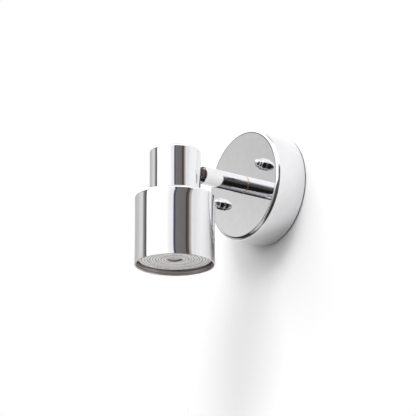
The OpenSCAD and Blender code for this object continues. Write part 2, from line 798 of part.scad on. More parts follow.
module lower_can() {
    r = lower_d / 2;
    inner_round = max(can_round - can_wall, fix_gap);
    under_z = step_z - can_wall;
    hole_r = neck_r + fix_gap;
    outline = concat(
        [[hole_r, step_z]],
        arc(r - can_round, step_z - can_round, can_round, 90, 0),
        [[r, rim_z], [r - can_wall, rim_z]],
        arc(r - can_wall - inner_round, under_z - inner_round, inner_round, 0, 90),
        [[hole_r, under_z]]
    );
    color(chrome) at_head(0) rotate_extrude($fn = round_fn) polygon(outline);
}

module holder_bracket() {
    web_z = holder_top_z;
    color(steel) at_head(0) difference() {
        union() {
            translate([-web_half, -holder_bracket_w / 2, web_z])
                cube([2 * web_half, holder_bracket_w, holder_bracket_t]);
            for (x = [-web_half, web_half - holder_bracket_t])
                translate([x, -holder_bracket_w / 2, web_z])
                    cube([holder_bracket_t, holder_bracket_w, holder_bracket_leg]);
        }
        for (side = [-1, 1]) {
            translate([side * pin_pitch / 2, 0, web_z - over])
                cylinder(r = web_wire_r, h = holder_bracket_t + 2 * over, $fn = small_fn);
            translate([side * holder_screw_pitch / 2, 0, web_z - over])
                cylinder(r = holder_screw_d / 2 + fix_gap, h = holder_bracket_t + 2 * over,
                         $fn = small_fn);
        }
    }
}

// Space that a pin sweeps while the lamp turns: a curved slot with round ends
module pin_sweep(r, h) {
    pin_r = pin_pitch / 2;
    far = -twist_angle;
    linear_extrude(h) polygon(concat(
        arc(pin_r, 0, r, 0, 180),
        inside(arc(0, 0, pin_r - r, 0, far)),
        arc(pin_r * cos(far), pin_r * sin(far), r, 180 + far, 360 + far),
        inside(arc(0, 0, pin_r + r, far, 0))
    ));
}

module lampholder() {
    slot_r = pin_head_d / 2 + pin_gap;
    color(ceramic) at_head(holder_face_z) difference() {
        linear_extrude(holder_h) slot_shape(holder_w, holder_d);
        for (side = [0, 180]) rotate([0, 0, side]) {
            translate([0, 0, -over]) pin_sweep(slot_r, pocket_z - holder_face_z + over);
            translate([pin_pitch / 2, 0, 0])
                cylinder(r = contact_post_r + fix_gap, h = holder_h + over, $fn = small_fn);
            translate([holder_screw_pitch / 2, 0, -over]) {
                cylinder(r = holder_screw_d / 2 + fix_gap, h = holder_h + 2 * over, $fn = small_fn);
                cylinder(r = holder_screw_head_d / 2 + fix_gap, h = holder_screw_head_t + over,
                         $fn = small_fn);
            }
        }
    }
}

module holder_contacts() {
    color(brass) at_head(0) for (side = [-1, 1]) translate([side * pin_pitch / 2, 0, 0]) {
        translate([-contact_w / 2, -contact_w / 2, contact_z]) cube([contact_w, contact_w, contact_t]);
        translate([0, 0, contact_z]) cylinder(r = contact_post_r, h = holder_top_z - contact_z,
                                              $fn = small_fn);
    }
}

module holder_screws() {
    color(steel) at_head(holder_face_z) for (side = [-1, 1])
        translate([side * holder_screw_pitch / 2, 0, 0]) {
            cylinder(d = holder_screw_d, h = holder_h + holder_bracket_t + over, $fn = small_fn);
            cylinder(d = holder_screw_head_d, h = holder_screw_head_t, $fn = small_fn);
        }
}

module head_earth_screw() {
    color(brass) translate([0, 0, head_earth_z]) at_wall(head_out - yoke_plate_y)
        earth_screw(head_earth_screw_d, head_earth_head_d, yoke_t);
}

module head_earth_tag() {
    color(steel) translate([0, 0, head_earth_z]) at_wall(head_out - yoke_plate_y + yoke_t)
        earth_tag(head_earth_screw_d, head_earth_head_d);
}

// A lead from the sleeve's head end to one contact on top of the lampholder
function holder_route(angle, side) =
    let (start = lead_place(angle) - [0, sleeve_end_head, 0],
         end = [side * pin_pitch / 2, -head_out, holder_top_z],
         run = head_out - sleeve_end_head)
    [start, start - [0, run / 2, 0], end + [0, 0, run], end];

module head_live_lead() {
    color(live_brown) lead(holder_route(live_angle, -1), [1, 0, 0]);
}

module head_neutral_lead() {
    color(neutral_blue) lead(holder_route(neutral_angle, 1), [1, 0, 0]);
}

module head_earth_lead() {
    start = lead_place(earth_angle) - [0, sleeve_end_head, 0];
    tag_out = head_out - yoke_plate_y + yoke_t + earth_tag_t;
    end = [head_earth_head_d / 2 + lead_d, -(tag_out + lead_r), head_earth_z];
    loop = yoke_w / 2;
    route = [start, start - [0, loop, 0], end + [loop, -loop / 2, 0], end];
    color(earth_green) lead(route, [0, 0, 1]);
}

// The lamp's shell: neck, flare and straight front rim
module lamp_body() {
    r = lamp_d / 2;
    neck_r0 = lamp_neck_d / 2;
    flare_foot = lamp_face_z + lamp_rim_h;
    flare_top = shoulder_z - lamp_neck_len;
    lens_seat = lamp_face_z + lens_t;
    bowl = r - lens_edge;
    outline = [
        [neck_r0 + lamp_wall, flare_top], [r, flare_foot], [r, lamp_face_z],
        [bowl, lamp_face_z], [bowl, lens_seat], [bowl - lamp_wall, lens_seat],
        [bowl - lamp_wall, flare_foot], [neck_r0, flare_top - lamp_wall],
        [neck_r0, flare_top]
    ];
    color(white_plastic) at_head(0) rotate_extrude($fn = round_fn) polygon(outline);
}

module lamp_neck() {
    neck_r0 = lamp_neck_d / 2;
    flare_top = shoulder_z - lamp_neck_len;
    color(white_plastic) at_head(flare_top)
        ring(neck_r0, neck_r0 - lamp_wall, lamp_neck_len - lamp_wall);
    color(white_plastic) at_head(shoulder_z - lamp_wall) difference() {
        cylinder(r = neck_r0, h = lamp_wall, $fn = round_fn);
        for (side = [-1, 1]) translate([side * pin_pitch / 2, 0, -over])
            cylinder(d = pin_d, h = lamp_wall + 2 * over, $fn = small_fn);
    }
}

module lamp_pins() {
    color(nickel) at_head(shoulder_z - lamp_wall) for (side = [-1, 1])
        translate([side * pin_pitch / 2, 0, 0]) {
            cylinder(d = pin_d, h = lamp_wall + pin_len, $fn = small_fn);
            translate([0, 0, lamp_wall + pin_len - pin_head_h])
                cylinder(d = pin_head_d, h = pin_head_h, $fn = small_fn);
        }
}

module lamp_board() {
    color(white_plastic) at_head(lamp_face_z + lens_t + board_gap)
        ring(lamp_d / 2 - lens_edge - lamp_wall - fix_gap, 0, board_t);
}

module lamp_lens() {
    color(lens_grey) at_head(lamp_face_z) difference() {
        ring(lamp_d / 2 - lens_edge - fix_gap, 0, lens_t);
        translate([0, 0, -over])
            cylinder(d = hollow_d, h = hollow_depth + centre_t + over, $fn = small_fn);
    }
}

module lamp_lens_centre() {
    color(lens_grey) at_head(lamp_face_z + hollow_depth)
        cylinder(r = hollow_d / 2 - fix_gap, h = centre_t, $fn = small_fn);
}

wall_bracket();
bracket_studs();
stud_locknuts();
base_cover();
base_gasket();
cap_nut_washers();
cap_nuts();
swivel_washer();
terminal_block();
terminal_barrels();
terminal_screws();
block_screw();
base_earth_screw();
base_earth_tag();
base_live_lead();
base_neutral_lead();
base_earth_lead();
arm_tube();
arm_root_bush();
arm_nipple();
friction_washer();
spring_washer();
arm_locknut();
nipple_bush();
arm_knuckle();
arm_lead_sleeve();
head_yoke();
pivot_rivets();
pivot_washers();
yoke_rivets();
upper_can();
lower_can();
holder_bracket();
lampholder();
holder_contacts();
holder_screws();
head_earth_screw();
head_earth_tag();
head_lead_sleeve();
head_live_lead();
head_neutral_lead();
head_earth_lead();
lamp_body();
lamp_neck();
lamp_pins();
lamp_board();
lamp_lens();
lamp_lens_centre();
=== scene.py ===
"""Looks of a pivoting spotlight wall light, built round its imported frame.

The frame's origin is on the wall at the base's centre. The light stands out along -Y, +Z is up.
Lengths here are in metres, and sizes written in millimetres are multiplied by MM.
"""
import json
import math
import random

import bmesh
import bpy
import numpy as np
from mathutils import Matrix, Vector


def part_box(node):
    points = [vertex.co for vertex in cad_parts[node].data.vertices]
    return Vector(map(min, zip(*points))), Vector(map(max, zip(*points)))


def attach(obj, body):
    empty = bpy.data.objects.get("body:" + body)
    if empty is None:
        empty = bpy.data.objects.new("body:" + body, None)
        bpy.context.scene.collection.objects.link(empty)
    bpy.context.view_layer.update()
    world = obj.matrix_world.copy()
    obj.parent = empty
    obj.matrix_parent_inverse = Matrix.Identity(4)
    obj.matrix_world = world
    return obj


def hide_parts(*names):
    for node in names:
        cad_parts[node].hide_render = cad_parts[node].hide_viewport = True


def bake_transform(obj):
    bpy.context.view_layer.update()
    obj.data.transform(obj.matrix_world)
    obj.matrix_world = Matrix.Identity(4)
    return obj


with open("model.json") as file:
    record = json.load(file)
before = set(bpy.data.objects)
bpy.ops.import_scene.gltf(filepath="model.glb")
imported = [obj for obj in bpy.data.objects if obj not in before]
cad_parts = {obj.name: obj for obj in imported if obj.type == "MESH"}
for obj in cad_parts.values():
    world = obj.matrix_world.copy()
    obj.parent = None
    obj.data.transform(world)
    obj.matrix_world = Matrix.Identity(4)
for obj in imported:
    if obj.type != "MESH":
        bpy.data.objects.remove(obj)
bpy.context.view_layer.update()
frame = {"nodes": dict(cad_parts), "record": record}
nodes = frame["nodes"]

MM = 0.001

# Camera, fitted to the outlines of base, arm and head in the photograph
CAMERA_AZIMUTH = 53.46
CAMERA_ELEVATION = -17.45
CAMERA_DISTANCE = 1.9
CAMERA_RIGHT = -44.77 * MM
CAMERA_UP = -12.01 * MM
CAMERA_LENS = 231.7
CAMERA_SENSOR = 36.0

# Steps round a turned piece, along a rounded edge, down a waisted wall and along a lead
SIDES = 192
EDGE_STEPS = 8
WAIST_STEPS = 40
CURVE_STEPS = 40
# Places as close as this are one place
NEAR = 2e-6
# Softening of the carried-over solids' edges, and the angle from which an edge is one
EDGE_SOFTENING = 0.07 * MM
EDGE_ANGLE = math.radians(35)

# Sheet and edge sizes that the solids carry, and the small radius of worn-in metal edges
SHEET = 1.0 * MM
CUP_ROUND = 2.8 * MM
CAN_ROUND = 2.0 * MM
RIM_ROUND = 0.18 * MM
ARM_WALL = 0.9 * MM
ARM_ROUND = 0.4 * MM
STUD_PLACE = (24.504 * MM, 8.3896 * MM)
STUD_HOLE = 2.25 * MM
NIPPLE_HOLE = 5.05 * MM

# Window for the hinge in the upper can, across and upright
WINDOW = (10.2 * MM, 6.4 * MM)

# Lens: pitch, height and rings of its pebbles, and how many heights are drawn for each ring
LENS_PITCH = 1.45 * MM
LENS_RELIEF = 0.42 * MM
LENS_BANDS = 11
LENS_HEIGHTS = 120
# Its hollow's radius and depth, the swell of the hollow's floor, soft edges and the ribs near its rim
LENS_HOLLOW = 4.9 * MM
LENS_FLOOR = 1.4 * MM
LENS_SWELL = 0.25 * MM
LENS_SOFT = 0.2 * MM
LENS_RIBS = 66
LENS_RIB_HEIGHT = 0.3 * MM
# Fineness of the rings moulded in it
LENS_RINGS = 165

# Most values of a noise texture lie between these
NOISE_LOW = 0.3
NOISE_HIGH = 0.7

# Wall and floor
WALL_LEFT = -0.1
WALL_RIGHT = 0.19
WALL_TOP = 0.6
WALL_HOLE = 39.2 * MM
FLOOR_Z = -1.2
WALL_COLOR = 0.97
WALL_RIGHT_COLOR = 0.8
WALL_FADE = (0.11, 0.25)
# Their own brightness where they are seen, beside the light that falls on them
WALL_GLOW = 0.02
FLOOR_GLOW = 0.3

# The studio by azimuth at eye height: 0 is straight out of the wall, 90 is to its right.
# A grey room, a dark gap, one wide softbox with a blue rim, and a dark gap before the wall.
STUDIO_BANDS = [
    (-180, (0.56, 0.56, 0.57)), (-88, (0.56, 0.56, 0.57)), (-75, (0.66, 0.66, 0.67)), (-68, 0.74),
    (-57, (0.85, 0.85, 0.84)), (-52.5, (0.83, 0.83, 0.82)), (-50, 0.42), (-45, 0.25),
    (-41, (0.12, 0.12, 0.13)), (-36.5, (0.12, 0.12, 0.13)), (-34.5, 1.3), (29, 1.3), (34, 1.1),
    (44, (0.98, 0.98, 1.0)), (48.6, (0.98, 1.0, 1.02)), (50.6, (0.08, 0.08, 0.11)),
    (54.2, (0.08, 0.077, 0.1)), (56.5, (0.2, 0.195, 0.205)), (66, (0.19, 0.185, 0.18)),
    (78, (0.185, 0.172, 0.165)), (85.5, (0.165, 0.15, 0.14)), (86.4, (0.045, 0.038, 0.034)),
    (88.6, (0.045, 0.038, 0.034)), (90, (0.115, 0.1, 0.092)), (94.6, (0.125, 0.11, 0.1)),
    (96, (0.46, 0.42, 0.39)), (101, (0.5, 0.49, 0.47)), (102.5, (0.9, 0.9, 0.91)),
    (180, (0.9, 0.9, 0.91)),
]
# The same below the horizon: a dim floor, lighter on the left and behind
STUDIO_FLOOR = [
    (-180, 0.8), (-100, 0.8), (-90, 0.3), (-75, 0.3), (-66, (0.08, 0.075, 0.07)),
    (-58, (0.06, 0.05, 0.045)), (-50, (0.02, 0.018, 0.017)), (-46, 0.06), (-40, 0.3), (-30, 0.42),
    (-9, 0.42), (4, 0.25), (14, 0.08), (21, (0.016, 0.015, 0.015)), (51, (0.014, 0.013, 0.013)),
    (54, (0.06, 0.055, 0.053)), (70, (0.1, 0.094, 0.09)), (180, (0.12, 0.115, 0.11)),
]
# And at the horizon
STUDIO_HORIZON = [
    (-180, 0.8), (-100, 0.8), (-88, 0.6), (-66, (0.5, 0.49, 0.48)), (-59, (0.035, 0.03, 0.028)),
    (-44, (0.035, 0.03, 0.028)), (-39, (0.5, 0.5, 0.51)), (-8, 0.45), (6, (0.22, 0.215, 0.21)),
    (16, (0.1, 0.095, 0.093)), (180, (0.13, 0.125, 0.12)),
]
STUDIO_DOME = (1.45, 1.45, 1.46, 1)
STUDIO_ZENITH = 0.3
STUDIO_GAIN = 1.12
# Heights in degrees over which each part passes into the next
FLOOR_TO_HORIZON = (-17, -11)
HORIZON_TO_BANDS = (2, 5)
BANDS_TO_DOME = (26, 34)
DOME_TO_ZENITH = (74, 80)
# Left of these azimuths the floor ends this many degrees lower
FLOOR_DROP = 13
FLOOR_DROP_END = (30, 45)
# The bands bend with the square of the height over eye height, up to a limit and above these heights
EYE_HEIGHT = -CAMERA_ELEVATION
BEND_SHARE = 0.25
BEND_LIMIT = 20
BEND_FOOT = (10.5, 12)
# The darker patch of the room's grey: middle, sides, heights over eye height, share and grey
PATCH_MIDDLE = -54.5
PATCH_SIDES = (3, 5)
PATCH_FOOT = (-0.9, 1.3)
PATCH_SHARE = 0.22
PATCH_GREY = 0.1
# The dark stand on the left that reaches over the horizon
STAND_LEFT = (-64, -59)
STAND_RIGHT = (-44, -38)
STAND_HEIGHT = 8.5
# The dark gap over eye height: middle, sides, foot, top and grey
GAP_MIDDLE = -52
GAP_SIDES = (16, 24)
GAP_FOOT = (20, 22)
GAP_TOP = (32, 37)
GAP_GREY = 0.08
# Light of the soft dome, its top, the room below and the floor straight below, and where they begin
SKY = 1.56
SKY_FOOT = (0, 15)
SKY_TOP = 0.55
SKY_TOP_FOOT = (50, 66)
GROUND = 0.06
PALE_FLOOR = 1.3
PALE_FLOOR_TOP = (-60, -48)
# Lamps: azimuth, height in degrees, distance, size and power
SIDE_LAMPS = [(-50, 48, 2.2, 1.3, 9), (26, 46, 2.2, 1.1, 25)]


def linked(name, data):
    """A new object with this mesh, camera or light."""
    piece = bpy.data.objects.new(name, data)
    bpy.context.scene.collection.objects.link(piece)
    return piece


def towards(azimuth, height):
    """The direction of an azimuth and a height in degrees: 0 is out of the wall, 90 is to its right."""
    turn, rise = math.radians(azimuth), math.radians(height)
    flat = math.cos(rise)
    return Vector((math.sin(turn) * flat, -math.cos(turn) * flat, math.sin(rise)))


def make_camera():
    """The photograph's viewpoint: below the light and to its right."""
    azimuth = math.radians(CAMERA_AZIMUTH)
    back = towards(CAMERA_AZIMUTH, CAMERA_ELEVATION)
    right = Vector((math.cos(azimuth), math.sin(azimuth), 0))
    up = back.cross(right)
    camera = linked("camera", bpy.data.cameras.new("camera"))
    camera.location = back * CAMERA_DISTANCE + right * CAMERA_RIGHT + up * CAMERA_UP
    camera.rotation_euler = Matrix((right, up, back)).transposed().to_euler()
    camera.data.lens = CAMERA_LENS
    camera.data.sensor_width = CAMERA_SENSOR
    bpy.context.scene.camera = camera


make_camera()


# Outlines and turned pieces

def rounded(corners):
    """Edges of a closed outline with corners (radius, height, rounding), turned counterclockwise.

    Each edge is (start, normal at the start, end, normal at the end).
    """
    points = [Vector(c[:2]) for c in corners]
    area = sum(a.x * b.y - b.x * a.y for a, b in zip(points, points[1:] + points[:1]))
    if area < 0:
        corners = corners[::-1]
        points = points[::-1]
    runs = []
    for i, point in enumerate(points):
        fillet = corners[i][2]
        before = (points[i - 1] - point).normalized()
        after = (points[(i + 1) % len(points)] - point).normalized()
        if not fillet:
            runs.append([(point, None)])
            continue
        half = math.acos(max(-1, min(1, before.dot(after)))) / 2
        start = point + before * (fillet / math.tan(half))
        end = point + after * (fillet / math.tan(half))
        centre = point + (before + after).normalized() * (fillet / math.sin(half))
        convex = 1 if before.x * after.y - before.y * after.x < 0 else -1
        run = []
        for step in range(EDGE_STEPS + 1):
            along = math.sin(step / EDGE_STEPS * (math.pi - 2 * half))
            away = math.sin((1 - step / EDGE_STEPS) * (math.pi - 2 * half))
            normal = ((start - centre) * away + (end - centre) * along).normalized()
            run.append((centre + normal * fillet, normal * convex))
        runs.append(run)
    edges = []
    for i, run in enumerate(runs):
        edges += [a + b for a, b in zip(run, run[1:])]
        a, b = run[-1][0], runs[(i + 1) % len(runs)][0][0]
        way = (b - a).normalized()
        flat = Vector((way.y, -way.x))
        edges.append((a, flat, b, flat))
    return edges


def ring(hole, radius, foot, top, rounds):
    """Outline of a plain ring, with the roundings of its edges from the bore's foot on."""
    places = ((hole, foot), (radius, foot), (radius, top), (hole, top))
    return [(*place, fillet) for place, fillet in zip(places, rounds)]


def drawn(hole, radius, top, foot, fillet):
    """Outline of a drawn cup of one sheet, with a hole in its top."""
    return [
        (hole, top, 0), (radius, top, fillet), (radius, foot, RIM_ROUND),
        (radius - SHEET, foot, RIM_ROUND), (radius - SHEET, top - SHEET, fillet - SHEET),
        (hole, top - SHEET, 0),
    ]


def waisted(edges, radius, depth, lower, upper):
    """Bends the long outer wall in by depth at its middle, as drawn cans are.

    lower and upper are powers: the higher, the flatter the middle of that half of the wall.
    """
    made = []
    for start, normal_a, end, normal_b in edges:
        if abs(start.x - radius) > NEAR or abs(end.x - radius) > NEAR or abs(end.y - start.y) < radius / 2:
            made.append((start, normal_a, end, normal_b))
            continue
        middle = (start.y + end.y) / 2
        half = (end.y - start.y) / 2
        points = []
        for step in range(WAIST_STEPS + 1):
            share = 2 * step / WAIST_STEPS - 1
            power = lower if share * half < 0 else upper
            rise = abs(share) ** (power - 1) * math.copysign(1, share)
            slope = power * depth * rise / half
            way = Vector((slope, 1)).normalized() * (1 if half > 0 else -1)
            spot = Vector((radius - depth * (1 - abs(share) ** power), middle + share * half))
            points.append((spot, Vector((way.y, -way.x))))
        made += [a + b for a, b in zip(points, points[1:])]
    return made


def meshed(name, vertices, faces):
    """A new mesh."""
    mesh = bpy.data.meshes.new(name)
    mesh.from_pydata(vertices, [], faces)
    mesh.update()
    return mesh


def smooth(mesh):
    """Shades every face smooth."""
    mesh.polygons.foreach_set("use_smooth", [True] * len(mesh.polygons))


def circle(reach, level, count):
    """A ring of points round Z at one level."""
    turns = [math.tau * k / count for k in range(count)]
    return [(reach * math.cos(turn), reach * math.sin(turn), level) for turn in turns]


def spun(name, edges, sides=SIDES):
    """A closed mesh turned round local Z from an outline's edges."""
    rings = []
    vertices = []
    for start, _, _, _ in edges:
        if start.x < NEAR:
            rings.append([len(vertices)] * sides)
            vertices.append((0, 0, start.y))
            continue
        rings.append([len(vertices) + k for k in range(sides)])
        vertices += circle(start.x, start.y, sides)
    faces = []
    for i, (start, _, end, _) in enumerate(edges):
        if start.x < NEAR and end.x < NEAR:
            continue
        low, high = rings[i], rings[(i + 1) % len(edges)]
        for k in range(sides):
            after = (k + 1) % sides
            faces.append(tuple(dict.fromkeys((low[k], low[after], high[after], high[k]))))
    return meshed(name, vertices, faces)


def true_normals(piece, edges, place):
    """Gives a turned piece the exact normals of its outline, so that polished metal mirrors cleanly."""
    mesh = piece.data
    smooth(mesh)
    back = place.inverted()
    turn = np.array(back.to_3x3())
    points = np.zeros(len(mesh.vertices) * 3)
    mesh.vertices.foreach_get("co", points)
    points = points.reshape(-1, 3) @ turn.T + np.array(back.translation)
    corner = np.zeros(len(mesh.loops), int)
    mesh.loops.foreach_get("vertex_index", corner)
    flats = np.zeros(len(mesh.polygons) * 3)
    mesh.polygons.foreach_get("normal", flats)
    flats = flats.reshape(-1, 3) @ turn.T
    sizes = np.zeros(len(mesh.polygons), int)
    mesh.polygons.foreach_get("loop_total", sizes)
    flats = np.repeat(flats, sizes, axis=0)
    points = points[corner]
    radius = np.hypot(points[:, 0], points[:, 1])
    round_x = np.where(radius > NEAR, points[:, 0] / np.maximum(radius, NEAR), 1)
    round_y = np.where(radius > NEAR, points[:, 1] / np.maximum(radius, NEAR), 0)
    best = np.full(len(points), math.cos(EDGE_ANGLE))
    chosen = flats.copy()
    for start, normal_a, end, normal_b in edges:
        way = end - start
        share = ((radius - start.x) * way.x + (points[:, 2] - start.y) * way.y) / way.length_squared
        share = np.clip(share, 0, 1)
        gap = np.hypot(radius - start.x - way.x * share, points[:, 2] - start.y - way.y * share)
        across = normal_a.x * (1 - share) + normal_b.x * share
        along = normal_a.y * (1 - share) + normal_b.y * share
        length = np.hypot(across, along)
        normal = np.stack([across * round_x, across * round_y, along], 1) / length[:, None]
        match = (normal * flats).sum(1)
        use = (gap < NEAR) & (match > best)
        best[use] = match[use]
        chosen[use] = normal[use]
    chosen = chosen @ turn
    mesh.normals_split_custom_set([tuple(n) for n in chosen])


def cut(piece, cutter):
    """Cuts one mesh by another, which is used up."""
    modifier = piece.modifiers.new("cut", "BOOLEAN")
    modifier.operation = "DIFFERENCE"
    modifier.solver = "EXACT"
    modifier.object = cutter
    graph = bpy.context.evaluated_depsgraph_get()
    made = bpy.data.meshes.new_from_object(piece.evaluated_get(graph))
    piece.modifiers.clear()
    made.name = piece.name
    piece.data = made
    bpy.data.objects.remove(cutter)


def turned(name, corners, place, cutters=(), sides=SIDES, waist=None):
    """A turned piece: its rounded outline round local Z, put in its place and cut."""
    edges = rounded(corners)
    if waist:
        edges = waisted(edges, *waist)
    mesh = spun(name, edges, sides)
    mesh.transform(place)
    piece = linked(name, mesh)
    for cutter in cutters:
        cut(piece, cutter)
    true_normals(piece, edges, place)
    return piece


def at_wall(x=0.0, z=0.0):
    """Place of a piece whose local Z points out of the wall, along -Y."""
    return Matrix.Translation((x, 0, z)) @ Matrix.Rotation(math.pi / 2, 4, "X")


def head_axis():
    """Place of the head's upright axis."""
    low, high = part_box("lower_can")
    return Matrix.Translation((0, (low.y + high.y) / 2, 0))


def rod(radius, low, high, place):
    """A plain cylinder that cuts a hole."""
    mesh = spun("rod", rounded(ring(0, radius, low, high, (0, 0, 0, 0))), 64)
    mesh.transform(place)
    return linked("rod", mesh)


def block(low, high):
    """A plain box that cuts a window."""
    mesh = bpy.data.meshes.new("block")
    made = bmesh.new()
    bmesh.ops.create_cube(made, size=1)
    size = Vector(high) - Vector(low)
    for vertex in made.verts:
        vertex.co = Vector(low) + Vector([s * (c + 0.5) for s, c in zip(size, vertex.co)])
    made.to_mesh(mesh)
    made.free()
    return linked("block", mesh)


def lofted(name, rings):
    """A closed smooth mesh through rings of as many points each, with a fan at both ends."""
    count = len(rings[0])
    vertices = [tuple(point) for points in rings for point in points]
    last = len(vertices) - count
    for end in (rings[0], rings[-1]):
        vertices.append(tuple(sum(point[i] for point in end) / count for i in range(3)))
    faces = []
    for k in range(count):
        after = (k + 1) % count
        faces.append((last + count, after, k))
        faces.append((last + count + 1, last + k, last + after))
        for base in range(0, last, count):
            faces.append((base + k, base + after, base + count + after, base + count + k))
    mesh = meshed(name, vertices, faces)
    smooth(mesh)
    return mesh


def plate(name, outline, low, high, edge):
    """A plate across X between low and high with an outline in Y and Z, its edges rounded."""
    made = bmesh.new()
    floor, roof = [[made.verts.new((x, y, z)) for y, z in outline] for x in (low, high)]
    made.faces.new(floor[::-1])
    made.faces.new(roof)
    for k in range(len(outline)):
        after = (k + 1) % len(outline)
        made.faces.new((floor[k], floor[after], roof[after], roof[k]))
    bmesh.ops.recalc_face_normals(made, faces=made.faces)
    sharp = [e for e in made.edges if e.calc_face_angle(0) > EDGE_ANGLE]
    bmesh.ops.bevel(made, geom=sharp, offset=edge, segments=3, profile=0.5, affect="EDGES")
    mesh = bpy.data.meshes.new(name)
    made.to_mesh(mesh)
    made.free()
    smooth(mesh)
    mesh.set_sharp_from_angle(angle=EDGE_ANGLE)
    return mesh


def tube(name, route, radius, sides=20):
    """A round closed tube along a route, with softly rounded ends."""
    route = [Vector(point) for point in route]
    rings = []
    side = None
    for i, spot in enumerate(route):
        way = (route[min(i + 1, len(route) - 1)] - route[max(i - 1, 0)]).normalized()
        if side is None:
            side = way.orthogonal().normalized()
        side = (side - way * side.dot(way)).normalized()
        across = way.cross(side)
        rings.append([spot + side * x + across * y for x, y, _ in circle(radius, 0, sides)])
    soft = 0.25 * radius
    for end, inner in ((0, 1), (-1, -2)):
        way = (route[end] - route[inner]).normalized()
        low = [point - way * soft for point in rings[end]]
        tip = [route[end] + (point - route[end]) * 0.75 for point in rings[end]]
        rings[end] = low
        rings.insert(0 if end == 0 else len(rings), tip)
    return lofted(name, rings)


def merged(name, meshes):
    """One mesh from several."""
    made = bmesh.new()
    for mesh in meshes:
        made.from_mesh(mesh)
        bpy.data.meshes.remove(mesh)
    whole = bpy.data.meshes.new(name)
    made.to_mesh(whole)
    made.free()
    return whole


def curve(start, first, second, end):
    """Points of a smooth lead between two ends, with two guides."""
    made = []
    for i in range(CURVE_STEPS + 1):
        t = i / CURVE_STEPS
        u = 1 - t
        parts = ((start, u ** 3), (first, 3 * u * u * t), (second, 3 * u * t * t), (end, t ** 3))
        made.append(sum((Vector(point) * weight for point, weight in parts), Vector()))
    return made


# Shader nodes

def grey(value):
    """A grey with its opacity."""
    return (value, value, value, 1)


def put(made, values):
    """Sets plain values of a node's inputs."""
    for name, value in values.items():
        made.inputs[name].default_value = value


def node(tree, kind, values=None):
    """A new node, with values for some of its inputs."""
    made = tree.nodes.new(kind)
    put(made, values or {})
    return made


def filled(tree, sockets, values):
    """Gives each socket its value, which is plain or another node's socket."""
    for socket, value in zip(sockets, values):
        if isinstance(value, bpy.types.NodeSocket):
            tree.links.new(value, socket)
        else:
            socket.default_value = value


def maths(tree, operation, first, second=0.0):
    """A Math node's result; each value is a number or a socket."""
    made = node(tree, "ShaderNodeMath")
    made.operation = operation
    filled(tree, made.inputs, (first, second))
    return made.outputs[0]


def between(tree, source, low, high, start, end):
    """Maps a value from start and end to low and high, and no further."""
    values = {"From Min": start, "From Max": end, "To Min": low, "To Max": high}
    made = node(tree, "ShaderNodeMapRange", values)
    tree.links.new(source, made.inputs["Value"])
    return made.outputs["Result"]


def rising(tree, source, start, end):
    """0 up to start and 1 from end on."""
    return between(tree, source, 0, 1, start, end)


def falling(tree, source, start, end):
    """1 up to start and 0 from end on."""
    return between(tree, source, 1, 0, start, end)


def mixed(tree, factor, first, second):
    """A colour between two; each is a colour or a socket."""
    made = node(tree, "ShaderNodeMix")
    made.data_type = "RGBA"
    tree.links.new(factor, made.inputs[0])
    filled(tree, made.inputs[6:8], (first, second))
    return made.outputs[2]


def mixed_shaders(tree, factor, first, second, out):
    """Sends the first shader to the output, or the second where the factor is 1."""
    mix = node(tree, "ShaderNodeMixShader")
    filled(tree, mix.inputs, (factor, first.outputs[0], second.outputs[0]))
    tree.links.new(mix.outputs[0], out.inputs["Surface"])


def axes(tree, kind):
    """X, Y and Z of the piece's own or the world's coordinates."""
    split = node(tree, "ShaderNodeSeparateXYZ")
    tree.links.new(node(tree, "ShaderNodeTexCoord").outputs[kind], split.inputs[0])
    return split.outputs


def ramped(tree, source, stops):
    """A colour by a value, from rows of a place from 0 to 1 and a colour or the number of a grey."""
    ramp = node(tree, "ShaderNodeValToRGB")
    made = ramp.color_ramp.elements
    made.remove(made[0])
    for i, (place, color) in enumerate(stops):
        stop = made.new(place) if i else made[0]
        stop.position = place
        stop.color = (*color, 1) if isinstance(color, tuple) else grey(color)
    tree.links.new(source, ramp.inputs["Fac"])
    return ramp.outputs["Color"]


def spots(tree, scale, detail=2.0, stretch=(1, 1, 1), kind="ShaderNodeTexNoise", turn=(0, 0, 0), shift=None):
    """Values of a texture in the piece's own coordinates, in patches per metre."""
    place = node(tree, "ShaderNodeTexCoord")
    mapping = node(tree, "ShaderNodeMapping", {"Rotation": turn, "Scale": stretch})
    if shift:
        put(mapping, {"Location": shift})
    texture = node(tree, kind, {"Scale": scale})
    if "Detail" in texture.inputs:
        put(texture, {"Detail": detail})
    tree.links.new(place.outputs["Object"], mapping.inputs["Vector"])
    tree.links.new(mapping.outputs["Vector"], texture.inputs["Vector"])
    return texture.outputs["Fac" if "Fac" in texture.outputs else "Distance"]


def finish(name, color, metallic, roughness, specular=0.5):
    """A new material with one Principled shader: the material, its node tree and the shader."""
    made = bpy.data.materials.new(name)
    made.use_nodes = True
    tree = made.node_tree
    tree.nodes.clear()
    out = node(tree, "ShaderNodeOutputMaterial")
    values = {"Base Color": (*color, 1), "Metallic": metallic, "Roughness": roughness}
    shader = node(tree, "ShaderNodeBsdfPrincipled", {**values, "Specular IOR Level": specular})
    tree.links.new(shader.outputs[0], out.inputs["Surface"])
    return made, tree, shader


def tinted(tree, shader, source, first, second, start=NOISE_LOW, end=NOISE_HIGH):
    """Base colour that changes from one colour to another with a texture."""
    tree.links.new(ramped(tree, source, [(start, first), (end, second)]), shader.inputs["Base Color"])


def rough(tree, shader, source, low, high):
    """Roughness that changes with a texture."""
    tree.links.new(between(tree, source, low, high, NOISE_LOW, NOISE_HIGH), shader.inputs["Roughness"])


